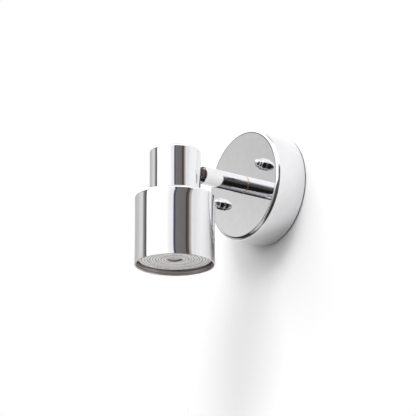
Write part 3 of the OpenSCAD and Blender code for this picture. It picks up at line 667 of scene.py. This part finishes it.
def relief(tree, shader, layers):
    """Bumps of several textures: each layer is a value and its height in metres."""
    last = None
    for source, height in layers:
        bump = node(tree, "ShaderNodeBump", {"Strength": 1.0, "Distance": height})
        tree.links.new(source, bump.inputs["Height"])
        if last:
            tree.links.new(last, bump.inputs["Normal"])
        last = bump.outputs["Normal"]
    tree.links.new(last, shader.inputs["Normal"])


# Procedural finishes

def polished_chrome():
    """Bright chrome plate on drawn sheet: slow waves, fine peel and faint haze."""
    made, tree, shader = finish("chrome", (0.74, 0.74, 0.75), 1.0, 0.03)
    haze = spots(tree, 240, 3.0)
    rough(tree, shader, haze, 0.018, 0.05)
    tinted(tree, shader, haze, (0.73, 0.73, 0.74), (0.75, 0.75, 0.76))
    waves = spots(tree, 62, 1.0)
    peel = spots(tree, 900, 2.0)
    relief(tree, shader, [(waves, 0.03 * MM), (peel, 0.0006 * MM)])
    return made


def drawn_inside():
    """The cans' dull inside: thin plate over drawn sheet, with rings left by the tool."""
    made, tree, shader = finish("inside_plate", (0.5, 0.46, 0.44), 0.8, 0.42)
    rings = spots(tree, 400, 1.0, (0.1, 0.1, 2.6))
    tinted(tree, shader, rings, (0.3, 0.26, 0.25), (0.78, 0.74, 0.72), 0.35, 0.65)
    rough(tree, shader, rings, 0.36, 0.5)
    relief(tree, shader, [(rings, 0.03 * MM)])
    return made


def zinc():
    """Bright zinc plate with faint rainbow patches and a rolled grain."""
    made, tree, shader = finish("zinc_steel", (0.6, 0.6, 0.62), 1.0, 0.3)
    patches = spots(tree, 160, 4.0)
    tinted(tree, shader, patches, (0.58, 0.6, 0.62), (0.66, 0.64, 0.6))
    grain = spots(tree, 900, 3.0, (1, 1, 0.06))
    rough(tree, shader, grain, 0.22, 0.4)
    relief(tree, shader, [(grain, 0.008 * MM)])
    return made


def warm_nickel():
    """Nickel plate: warmer and smoother than the zinc."""
    made, tree, shader = finish("nickel", (0.7, 0.62, 0.56), 1.0, 0.24)
    patches = spots(tree, 500, 3.0)
    tinted(tree, shader, patches, (0.64, 0.55, 0.49), (0.74, 0.67, 0.61))
    rough(tree, shader, patches, 0.18, 0.32)
    return made


def dark_steel():
    """Blackened steel, satin, with lighter rubbed patches."""
    made, tree, shader = finish("dark_steel", (0.08, 0.06, 0.052), 0.5, 0.42)
    patches = spots(tree, 420, 5.0)
    tinted(tree, shader, patches, (0.05, 0.036, 0.032), (0.13, 0.1, 0.09))
    rough(tree, shader, patches, 0.3, 0.5)
    relief(tree, shader, [(spots(tree, 2500), 0.01 * MM)])
    return made


def turned_brass():
    """Brass with fine turning marks."""
    made, tree, shader = finish("brass", (0.78, 0.6, 0.3), 1.0, 0.25)
    patches = spots(tree, 300, 3.0)
    tinted(tree, shader, patches, (0.74, 0.56, 0.27), (0.82, 0.66, 0.36))
    marks = spots(tree, 700, 2.0, (0.2, 4, 0.2))
    rough(tree, shader, marks, 0.16, 0.34)
    relief(tree, shader, [(marks, 0.01 * MM)])
    return made


def moulded(name, color, darker, roughness):
    """Moulded plastic: slight mottling and a fine spark-eroded grain."""
    made, tree, shader = finish(name, color, 0.0, roughness)
    patches = spots(tree, 120, 3.0)
    tinted(tree, shader, patches, darker, color)
    rough(tree, shader, patches, roughness * 0.85, roughness * 1.15)
    relief(tree, shader, [(spots(tree, 3200, 1.0), 0.006 * MM)])
    return made


def steatite():
    """Unglazed ceramic: chalky, with fine pores."""
    made, tree, shader = finish("ceramic", (0.9, 0.88, 0.82), 0.0, 0.75)
    patches = spots(tree, 260, 6.0)
    tinted(tree, shader, patches, (0.84, 0.82, 0.75), (0.93, 0.92, 0.87))
    pores = spots(tree, 2200, 4.0)
    relief(tree, shader, [(pores, 0.03 * MM)])
    return made


def closed_foam():
    """Black closed-cell foam with visible pores."""
    made, tree, shader = finish("foam", (0.03, 0.03, 0.03), 0.0, 0.9)
    pores = spots(tree, 1500, kind="ShaderNodeTexVoronoi")
    tinted(tree, shader, pores, (0.012, 0.012, 0.012), (0.06, 0.06, 0.06), 0.1, 0.6)
    relief(tree, shader, [(pores, 0.12 * MM)])
    return made


def braided_glass():
    """Braided glass-fibre sleeve: two crossing sets of yarns."""
    made, tree, shader = finish("glass_sleeve", (0.83, 0.81, 0.76), 0.0, 0.7)
    layers = []
    for side in (-1, 1):
        turn = (side * math.radians(45), 0, side * math.radians(40))
        yarns = spots(tree, 420, kind="ShaderNodeTexWave", turn=turn)
        put(yarns.node, {"Distortion": 0.6})
        layers.append((yarns, 0.1 * MM))
    relief(tree, shader, layers)
    tinted(tree, shader, layers[0][0], (0.62, 0.6, 0.54), (0.88, 0.86, 0.81), 0.1, 0.7)
    put(shader, {"Sheen Weight": 0.3})
    return made


def insulation(name, color, stripe=None):
    """Silicone insulation of a lead, with a second colour in bands where it is striped."""
    made, tree, shader = finish(name, color, 0.0, 0.42)
    if stripe:
        bands = spots(tree, 260, kind="ShaderNodeTexWave")
        tinted(tree, shader, bands, stripe, color, 0.45, 0.5)
    else:
        darker = tuple(0.8 * c for c in color)
        tinted(tree, shader, spots(tree, 500, 3.0), darker, color)
    fine = spots(tree, 2600)
    rough(tree, shader, fine, 0.36, 0.5)
    relief(tree, shader, [(fine, 0.008 * MM)])
    return made


def lens_plastic():
    """The unlit optic: clear plastic over a pale board, read as cloudy warm grey with fine rings."""
    made, tree, shader = finish("lens", (0.78, 0.76, 0.75), 0.0, 0.2)
    patches = spots(tree, 520, 4.0)
    rings = spots(tree, LENS_RINGS, kind="ShaderNodeTexWave", shift=-head_axis().translation)
    rings.node.wave_type = "RINGS"
    rings.node.rings_direction = "Z"
    both = maths(tree, "ADD", rings, patches)
    tinted(tree, shader, both, (0.3, 0.28, 0.27), (0.99, 0.98, 0.97), 0.4, 1.05)
    relief(tree, shader, [(rings, 0.1 * MM)])
    rough(tree, shader, patches, 0.14, 0.3)
    put(shader, {"Coat Weight": 0.5, "Coat Roughness": 0.08, "Subsurface Weight": 0.2})
    put(shader, {"Subsurface Radius": (0.6 * MM,) * 3, "Subsurface Scale": 1.0})
    return made


# Every finish, by the record's material slot
finishes = {
    "chrome": polished_chrome(),
    "zinc_steel": zinc(),
    "dark_steel": dark_steel(),
    "brass": turned_brass(),
    "nylon": moulded("nylon", (0.8, 0.7, 0.62), (0.74, 0.63, 0.55), 0.5),
    "white_plastic": moulded("white_plastic", (0.88, 0.88, 0.86), (0.84, 0.84, 0.82), 0.4),
    "lamp_plastic": moulded("lamp_plastic", (0.86, 0.86, 0.86), (0.82, 0.82, 0.82), 0.28),
    "ceramic": steatite(),
    "glass_sleeve": braided_glass(),
    "live_insulation": insulation("live_insulation", (0.3, 0.14, 0.06)),
    "neutral_insulation": insulation("neutral_insulation", (0.06, 0.2, 0.55)),
    "earth_insulation": insulation("earth_insulation", (0.16, 0.42, 0.08), (0.75, 0.68, 0.1)),
    "foam": closed_foam(),
    "lens": lens_plastic(),
    "board": moulded("board", (0.86, 0.87, 0.84), (0.8, 0.82, 0.79), 0.35),
    "nickel": warm_nickel(),
}
# The finish inside the lower can, and a dark brown for the upright wall of the lens's hollow that is painted
# shade
inside_finish = drawn_inside()
hollow_shade_finish = moulded("hollow_wall_shade", (0.46, 0.36, 0.33), (0.36, 0.28, 0.255), 0.4)


# Finish, body and record of each piece

def dress(piece, body, slot, *replaced):
    """Gives a new piece the finish of its record slot and its body, and hides the nodes that it stands for.
    """
    piece.data.materials.clear()
    piece.data.materials.append(finishes[slot])
    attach(piece, body)
    if replaced:
        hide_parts(*replaced)


def dress_nodes():
    """The carried-over solids keep their shape and get a finish and softened edges."""
    slots = {row["node"]: row["material_slot"] for row in frame["record"]["subparts"]}
    for name, solid in nodes.items():
        solid.data.materials.clear()
        solid.data.materials.append(finishes[slots[name]])
        smooth(solid.data)
        weld = solid.modifiers.new("weld", "WELD")
        weld.merge_threshold = NEAR
        bevel = solid.modifiers.new("edges", "BEVEL")
        bevel.width = EDGE_SOFTENING
        bevel.segments = 2
        bevel.limit_method = "ANGLE"
        bevel.angle_limit = EDGE_ANGLE
        even = solid.modifiers.new("shading", "WEIGHTED_NORMAL")
        even.weight = 100
        even.keep_sharp = True


def dull_inside(piece, axis, skin):
    """Gives the faces that look inward or down their duller finish. skin is the outer wall's radius."""
    mesh = piece.data
    mesh.materials.append(inside_finish)
    back = axis.inverted()
    for face in mesh.polygons:
        spot = back @ face.center
        normal = back.to_3x3() @ face.normal
        across = Vector((spot.x, spot.y, 0))
        inner = across.length < skin - 0.4 * SHEET
        inward = normal.dot(across.normalized()) < -0.3
        downward = normal.z < -0.5
        if inner and (inward or downward):
            face.material_index = 1


# Chrome pieces

def make_cup():
    """The base's drawn cup, with holes for the studs and the nipple."""
    low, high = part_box("base_cover")
    face = -low.y
    x, z = STUD_PLACE
    holes = [
        rod(STUD_HOLE, face - 2 * SHEET, face + SHEET, at_wall(side * x, side * z))
        for side in (-1, 1)
    ]
    corners = drawn(NIPPLE_HOLE, (high.x - low.x) / 2, face, -high.y, CUP_ROUND)
    cup = turned("base_cup", corners, at_wall(), holes)
    dress(cup, "base", "chrome", "base_cover")


def make_arm():
    """The arm's tube, open at both ends."""
    low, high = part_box("arm_tube")
    radius = (high.x - low.x) / 2
    rounds = (RIM_ROUND, RIM_ROUND, ARM_ROUND, ARM_ROUND)
    corners = ring(radius - ARM_WALL, radius, -high.y, -low.y, rounds)
    dress(turned("arm_shell", corners, at_wall()), "arm", "chrome", "arm_tube")


def make_upper_can():
    """The narrow can over the lamp's neck, with a lipped neck below and a window towards the arm."""
    low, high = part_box("upper_can")
    radius = (high.x - low.x) / 2
    top = high.z
    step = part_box("lower_can")[1].z
    holder_low, holder_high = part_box("lampholder")
    room = 0.15 * MM
    neck = (holder_high.x - holder_low.x) / 2 + room + SHEET
    lip = neck + 1.6 * MM
    corners = [
        (0, top, 0), (radius, top, CAN_ROUND), (radius, step, 0), (neck, step, 0),
        (neck, step - SHEET, 0), (lip, step - SHEET, 0), (lip, low.z, RIM_ROUND),
        (neck - SHEET, low.z, RIM_ROUND), (neck - SHEET, step + SHEET, 0),
        (radius - SHEET, step + SHEET, 0), (radius - SHEET, top - SHEET, CAN_ROUND - SHEET),
        (0, top - SHEET, 0),
    ]
    wide, tall = WINDOW
    window = block((-wide / 2, high.y - radius / 2, -tall / 2), (wide / 2, high.y + SHEET, tall / 2))
    can = turned("upper_shell", corners, head_axis(), [window], waist=(radius, 0.1 * MM, 4, 4))
    dress(can, "head", "chrome", "upper_can")


def make_lower_can():
    """The wide can round the lamp, open at its foot, with a slight waist."""
    low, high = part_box("lower_can")
    radius = (high.x - low.x) / 2
    holder_low, holder_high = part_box("lampholder")
    room = 0.2 * MM
    hole = (holder_high.x - holder_low.x) / 2 + room + SHEET
    corners = drawn(hole, radius, high.z, low.z, CAN_ROUND)
    can = turned("lower_shell", corners, head_axis(), waist=(radius, 0.22 * MM, 4, 6))
    dress(can, "head", "chrome", "lower_can")
    dull_inside(can, head_axis(), radius)


def nut_rings(height):
    """A cap nut from its foot up: a hexagon with chamfered corners, a fillet and a dome."""
    flat = 3.5 * MM
    hexagon = 3.2 * MM
    dome = 3.0 * MM
    fillet = 0.2 * MM
    chamfer = 1.7
    count = 144
    steps = 14
    # Heights of the hexagon's rings in millimetres, closest together at both chamfers
    levels = (0, 0.04, 0.1, 0.2, 0.35, 0.6, 1.1, 1.8, 2.3, 2.6, 2.75, 2.85, 2.95, 3.05, 3.12, 3.17, 3.2)
    rings = []
    for level in levels:
        level = level * MM
        limit = min(flat * 1.04 + chamfer * level, flat * 0.99 + chamfer * (hexagon - level))
        points = []
        for k in range(count):
            turn = math.tau * k / count
            reach = min(flat / math.cos(turn % (math.pi / 3) - math.pi / 6), limit)
            points.append((reach * math.cos(turn), reach * math.sin(turn), level))
        rings.append(points)
    for out, up in ((1, 0), (0.4, 0.15), (0, 0.6), (0, 2.5)):
        rings.append(circle(dome + out * fillet, hexagon + up * fillet, count))
    for step in range(steps):
        turn = math.pi / 2 * step / steps
        rings.append(circle(dome * math.cos(turn), height - dome + dome * math.sin(turn), count))
    return rings


def make_cap_nuts():
    """Both cap nuts as one piece."""
    low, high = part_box("cap_nuts")
    x, z = STUD_PLACE
    meshes = []
    for side in (-1, 1):
        mesh = lofted("nut", nut_rings(high.y - low.y))
        mesh.transform(at_wall(side * x, side * z) @ Matrix.Translation((0, 0, -high.y)))
        meshes.append(mesh)
    dress(linked("cap_nut_pair", merged("cap_nut_pair", meshes)), "base", "chrome", "cap_nuts")


def make_cap_washers():
    """A washer under each cap nut."""
    low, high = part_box("cap_nut_washers")
    x, z = STUD_PLACE
    radius = (high.x - low.x) / 2 - x
    corners = ring(STUD_HOLE, radius, -high.y, -low.y, (0, 0.12 * MM, 0.16 * MM, 0))
    for side, name in ((-1, "cap_washer_left"), (1, "cap_washer_right")):
        washer = turned(name, corners, at_wall(side * x, side * z), sides=72)
        dress(washer, "base", "chrome", "cap_nut_washers")


# Root washer, hinge, lamp and leads

def make_swivel_washer():
    """The thin washer on which the arm turns."""
    low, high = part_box("swivel_washer")
    corners = ring(NIPPLE_HOLE, (high.x - low.x) / 2, -high.y, -low.y, (0, 0.1 * MM, 0.1 * MM, 0))
    dress(turned("root_washer", corners, at_wall()), "base", "nickel", "swivel_washer")


def make_hinge():
    """The plug in the arm's end and its two ears, which are blackened."""
    low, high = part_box("arm_knuckle")
    border = 0.05 * MM
    setback = 0.8 * MM
    bore = 2.3 * MM
    root = 0.5 * MM
    thick = 1.0 * MM
    place = 2.6 * MM
    ear = (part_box("pivot_washers")[1].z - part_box("pivot_washers")[0].z) / 2 + border
    front = -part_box("arm_tube")[0].y - setback
    rounds = (0.1 * MM, 0.3 * MM, 0.3 * MM, 0.4 * MM)
    corners = ring(bore, (high.x - low.x) / 2, -high.y, front, rounds)
    dress(turned("hinge_plug", corners, at_wall()), "arm", "chrome", "arm_knuckle")
    outline = [(-front + root, -ear), (-front + root, ear)]
    steps = 24
    for step in range(steps + 1):
        turn = math.pi * step / steps
        outline.append((low.y + ear - ear * math.sin(turn), ear * math.cos(turn)))
    ears = [plate("ear", outline, near, near + thick, 0.14 * MM) for near in (place, -place - thick)]
    dress(linked("hinge_ears", merged("hinge_ears", ears)), "arm", "dark_steel", "arm_knuckle")


def make_sleeve():
    """One straight sleeve from the base through the arm into the head."""
    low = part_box("head_lead_sleeve")[0]
    low_arm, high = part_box("arm_lead_sleeve")
    radius = (high.x - low_arm.x) / 2
    steps = 90
    route = [(0, high.y + (low.y - high.y) * i / steps, 0) for i in range(steps + 1)]
    sleeve = linked("lead_sleeve", tube("lead_sleeve", route, radius, 32))
    dress(sleeve, "arm", "glass_sleeve", "arm_lead_sleeve", "head_lead_sleeve")
    sleeve.parent = None
    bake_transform(sleeve)


def lens_levels(radius, thick, first, ribbed, edge):
    """Radii of the lens's rings from its centre to its back, with the depth of the plain ones.

    Pebbles reach from the radius first to ribbed, and ribs from there to edge.
    """
    hollow, floor, soft = LENS_HOLLOW, LENS_FLOOR, LENS_SOFT
    levels = [(share * hollow, floor - LENS_SWELL * share ** 2) for share in (0.1, 0.3, 0.5, 0.7, 0.85)]
    levels += [(0.93 * hollow, floor), (0.97 * hollow, floor - 0.25 * soft), (hollow, floor - soft)]
    levels += [(hollow + 0.25 * soft, soft), (hollow + 0.75 * soft, 0.2 * soft), (hollow + 2 * soft, 0)]
    steps = 6
    levels += [(first + LENS_PITCH * i / steps, None) for i in range(LENS_BANDS * steps + 1)]
    steps = 8
    levels += [(ribbed + (edge - ribbed) * i / steps, None) for i in range(1, steps + 1)]
    levels += [(radius - 0.6 * soft, 0.15 * soft), (radius, 0.75 * soft), (radius, thick)]
    levels += [(0.5 * radius, thick), (0.02 * radius, thick)]
    return levels


def pebble_depth(reach, turn, first, phases, heights):
    """Depth of the face among the pebbles, at a radius and a share of a full turn."""
    band = min(int((reach - first) / LENS_PITCH), LENS_BANDS - 1)
    middle = first + (band + 0.5) * LENS_PITCH
    pebbles = round(math.tau * middle / LENS_PITCH)
    place = (turn * pebbles + phases[band]) % pebbles
    across = 2 * (place % 1) - 1
    along = 2 * (reach - middle) / LENS_PITCH
    swell = min(1, 0.5 * (across ** 2 + along ** 2) + 0.5 * max(abs(across), abs(along)) ** 4)
    return LENS_RELIEF * swell * heights[band][int(place) % LENS_HEIGHTS]


def rib_depth(share, turn):
    """Depth of the face among the ribs, at a share of their width and of a full turn."""
    wave = 0.5 - 0.5 * math.cos(math.tau * turn * LENS_RIBS)
    return LENS_RIB_HEIGHT * wave * math.sin(math.pi * share) ** 0.5 if share < 1 else 0


def make_lens():
    """The optic: rings of small pebbles, a ribbed edge and a round hollow at its centre."""
    low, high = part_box("lamp_lens")
    radius = (high.x - low.x) / 2
    shoulder = 0.7 * MM
    border = 0.35 * MM
    count = 480
    first = LENS_HOLLOW + shoulder
    ribbed = first + LENS_BANDS * LENS_PITCH
    edge = radius - border
    dice = random.Random(11)
    phases = [dice.random() for _ in range(LENS_BANDS)]
    heights = [[dice.uniform(0.75, 1.15) for _ in range(LENS_HEIGHTS)] for _ in range(LENS_BANDS)]
    rings = []
    for reach, level in lens_levels(radius, high.z - low.z, first, ribbed, edge):
        points = []
        for k in range(count):
            turn = k / count
            depth = level
            if level is None and reach <= ribbed:
                depth = pebble_depth(reach, turn, first, phases, heights)
            elif level is None:
                depth = rib_depth((reach - ribbed) / (edge - ribbed), turn)
            angle = math.tau * turn
            points.append((reach * math.cos(angle), reach * math.sin(angle), low.z + depth))
        rings.append(points)
    mesh = lofted("lamp_optic", rings)
    mesh.transform(head_axis())
    dress(linked("lamp_optic", mesh), "lamp", "lens", "lamp_lens", "lamp_lens_centre")
    # The upright wall of the hollow gets a dark brown finish: painted shade in the hollow.
    mesh.materials.append(hollow_shade_finish)
    axis = head_axis().translation
    for polygon in mesh.polygons:
        reach = math.hypot(polygon.center.x - axis.x, polygon.center.y - axis.y)
        if reach < LENS_HOLLOW + 0.5 * LENS_SOFT and abs(polygon.normal.z) < 0.8:
            polygon.material_index = 1


def make_lamp_shell():
    """The lamp's plastic bowl, from its neck to the rim round the lens."""
    low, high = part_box("lamp_body")
    radius = (high.x - low.x) / 2
    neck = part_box("lamp_neck")[1].x
    wall = 1.6 * MM
    rim = 1.0 * MM
    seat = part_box("lamp_lens")[1].z
    bowl = radius - rim
    flare = low.z + 6.0 * MM
    corners = [
        (neck + wall, high.z, 0.3 * MM), (radius, flare, 1.5 * MM), (radius, low.z, 0.3 * MM),
        (bowl, low.z, 0.2 * MM), (bowl, seat, 0), (bowl - wall, seat, 0), (bowl - wall, flare, 1.0 * MM),
        (neck, high.z - wall, 0), (neck, high.z, 0),
    ]
    dress(turned("lamp_shell", corners, head_axis()), "lamp", "lamp_plastic", "lamp_body")


def make_base_leads():
    """The three leads behind the cup, along the routes of their solids."""
    radius = 0.85 * MM
    offset = 1.05 * MM
    depth = 7.0 * MM
    sink = 1.0 * MM
    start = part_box("arm_lead_sleeve")[1].y
    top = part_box("terminal_block")[1].z - sink
    guide = Vector((0, depth / 2, 0))
    routes = {}
    for name, angle, side in (("live", 210, -1), ("neutral", -30, 1)):
        turn = math.radians(angle)
        begin = Vector((offset * math.cos(turn), start, offset * math.sin(turn)))
        end = Vector((side * 4.5 * MM, -depth, top))
        routes[name] = curve(begin, begin + guide, end + Vector((0, 0, 5 * MM)), end)
    begin = Vector((0, start, offset))
    end = Vector((7.5 * MM, -2.95 * MM, 16 * MM))
    routes["earth"] = curve(begin, begin + guide, end - Vector((5.6 * MM, 0, 0)), end)
    for name, route in routes.items():
        lead = linked(name + "_lead", tube(name + "_lead", route, radius))
        dress(lead, "base", name + "_insulation", "base_%s_lead" % name)


# Wall, floor and the studio around them

def backdrop_material(name, glow):
    """Plain pale surface that glows a little for the camera and in mirrors, and is open from behind."""
    made, tree, shader = finish(name, (WALL_COLOR,) * 3, 0.0, 1.0, 0.0)
    path = node(tree, "ShaderNodeLightPath").outputs
    seen = maths(tree, "ADD", path["Is Camera Ray"], path["Is Glossy Ray"])
    seen = maths(tree, "ADD", seen, path["Is Transmission Ray"])
    put(shader, {"Emission Color": grey(1)})
    tree.links.new(maths(tree, "MULTIPLY", seen, glow), shader.inputs["Emission Strength"])
    behind = node(tree, "ShaderNodeNewGeometry").outputs["Backfacing"]
    out = next(n for n in tree.nodes if n.type == "OUTPUT_MATERIAL")
    mixed_shaders(tree, behind, shader, node(tree, "ShaderNodeBsdfTransparent"), out)
    return made


def fade_right(made):
    """The wall gets a little darker far to the right, out of the camera's view."""
    tree = made.node_tree
    share = rising(tree, axes(tree, "Object")["X"], *WALL_FADE)
    color = mixed(tree, share, grey(WALL_COLOR), grey(WALL_RIGHT_COLOR))
    shader = next(n for n in tree.nodes if n.type == "BSDF_PRINCIPLED")
    tree.links.new(color, shader.inputs["Base Color"])


def make_wall():
    """A board with a round hole that the base covers, so that the base's back is lit from behind."""
    count = 96
    inner = []
    outer = []
    faces = []
    for k in range(count):
        turn = math.tau * k / count
        x, z = math.cos(turn), math.sin(turn)
        inner.append((WALL_HOLE * x, 0, WALL_HOLE * z))
        sideways = x / WALL_RIGHT if x > 0 else x / WALL_LEFT
        reach = 1 / max(sideways, z / WALL_TOP if z > 0 else z / FLOOR_Z)
        outer.append((reach * x, 0, reach * z))
        after = (k + 1) % count
        faces.append((k, after, count + after, count + k))
    mesh = meshed("wall", inner + outer, faces)
    if mesh.polygons[0].normal.y > 0:
        mesh.flip_normals()
    wall = linked("wall", mesh)
    mesh.materials.append(backdrop_material("wall_paint", WALL_GLOW))
    fade_right(mesh.materials[0])


def make_floor():
    """A plain floor far below, which lights nothing and isn't in the mirrors."""
    half = 3.0
    corners = [(-half, -half, FLOOR_Z), (half, -half, FLOOR_Z), (half, half, FLOOR_Z), (-half, half, FLOOR_Z)]
    mesh = meshed("floor", corners, [(0, 1, 2, 3)])
    floor = linked("floor", mesh)
    mesh.materials.append(backdrop_material("floor_paint", FLOOR_GLOW))
    floor.visible_glossy = False
    floor.visible_diffuse = False


def mirrored_room(tree, azimuth, height):
    """What mirrors see of the studio, by azimuth and height in degrees."""
    off = maths(tree, "SUBTRACT", height, EYE_HEIGHT)
    bend = maths(tree, "MINIMUM", maths(tree, "MULTIPLY", off, off), BEND_LIMIT)
    bend = maths(tree, "MULTIPLY", bend, rising(tree, height, *BEND_FOOT))
    bent = maths(tree, "SUBTRACT", azimuth, maths(tree, "MULTIPLY", bend, BEND_SHARE))
    share = maths(tree, "DIVIDE", maths(tree, "ADD", bent, 180), 360)
    bands, floor, horizon = [
        ramped(tree, share, [((angle + 180) / 360, color) for angle, color in rows])
        for rows in (STUDIO_BANDS, STUDIO_FLOOR, STUDIO_HORIZON)
    ]
    # The room's grey is darker just above eye height, where the base's face mirrors it
    beside = maths(tree, "ABSOLUTE", maths(tree, "SUBTRACT", azimuth, PATCH_MIDDLE))
    over = between(tree, off, 0, PATCH_SHARE, *PATCH_FOOT)
    patch = maths(tree, "MULTIPLY", falling(tree, beside, *PATCH_SIDES), over)
    bands = mixed(tree, patch, bands, grey(PATCH_GREY))
    # On the left a dark stand reaches over the horizon
    stand = maths(tree, "MULTIPLY", falling(tree, azimuth, *STAND_RIGHT), rising(tree, azimuth, *STAND_LEFT))
    above = maths(tree, "SUBTRACT", height, maths(tree, "MULTIPLY", stand, STAND_HEIGHT))
    floor_edge = maths(tree, "ADD", height, between(tree, azimuth, FLOOR_DROP, 0, *FLOOR_DROP_END))
    low = mixed(tree, rising(tree, floor_edge, *FLOOR_TO_HORIZON), floor, horizon)
    middle = mixed(tree, rising(tree, above, *HORIZON_TO_BANDS), low, bands)
    whole = mixed(tree, rising(tree, height, *BANDS_TO_DOME), middle, STUDIO_DOME)
    # A dark gap over eye height draws the inner line round the base's face
    beside = maths(tree, "ABSOLUTE", maths(tree, "SUBTRACT", azimuth, GAP_MIDDLE))
    gap = maths(tree, "MULTIPLY", falling(tree, beside, *GAP_SIDES), rising(tree, height, *GAP_FOOT))
    gap = maths(tree, "MULTIPLY", gap, falling(tree, height, *GAP_TOP))
    whole = mixed(tree, gap, whole, grey(GAP_GREY))
    return mixed(tree, rising(tree, height, *DOME_TO_ZENITH), whole, grey(STUDIO_ZENITH))


def soft_dome(tree, height):
    """The light on every surface that isn't a mirror, by height in degrees."""
    sky = mixed(tree, rising(tree, height, *SKY_FOOT), grey(GROUND), grey(SKY))
    sky = mixed(tree, rising(tree, height, *SKY_TOP_FOOT), sky, grey(SKY_TOP))
    return mixed(tree, falling(tree, height, *PALE_FLOOR_TOP), sky, grey(PALE_FLOOR))


def make_studio():
    """White seen directly; softboxes and dark gaps for the mirrors, and a soft dome for the rest."""
    world = bpy.data.worlds.new("studio")
    bpy.context.scene.world = world
    world.use_nodes = True
    tree = world.node_tree
    tree.nodes.clear()
    way = axes(tree, "Generated")
    azimuth = maths(tree, "ARCTAN2", way["X"], maths(tree, "MULTIPLY", way["Y"], -1))
    azimuth = maths(tree, "MULTIPLY", azimuth, 180 / math.pi)
    height = maths(tree, "MULTIPLY", maths(tree, "ARCSINE", way["Z"]), 180 / math.pi)
    path = node(tree, "ShaderNodeLightPath").outputs
    room = mirrored_room(tree, azimuth, height)
    whole = mixed(tree, path["Is Glossy Ray"], soft_dome(tree, height), room)
    studio = node(tree, "ShaderNodeBackground", {"Strength": STUDIO_GAIN})
    tree.links.new(whole, studio.inputs["Color"])
    white = node(tree, "ShaderNodeBackground", {"Color": grey(1)})
    seen = maths(tree, "ADD", path["Is Camera Ray"], path["Is Transmission Ray"])
    mixed_shaders(tree, seen, studio, white, node(tree, "ShaderNodeOutputWorld"))


def make_lamps():
    """A soft lamp on either side, the right one stronger, which mirrors don't show."""
    for i, (azimuth, height, distance, size, power) in enumerate(SIDE_LAMPS):
        data = bpy.data.lights.new("side_%d" % i, "AREA")
        data.size = size
        data.energy = power
        lamp = linked("side_%d" % i, data)
        way = towards(azimuth, height)
        lamp.location = way * distance
        lamp.rotation_euler = way.to_track_quat("Z", "Y").to_euler()
        lamp.visible_glossy = False


dress_nodes()
make_cup()
make_arm()
make_upper_can()
make_lower_can()
make_cap_nuts()
make_cap_washers()
make_swivel_washer()
make_hinge()
make_sleeve()
make_lens()
make_lamp_shell()
make_base_leads()
make_wall()
make_floor()
make_studio()
make_lamps()

bpy.context.scene.view_settings.view_transform = "Standard"
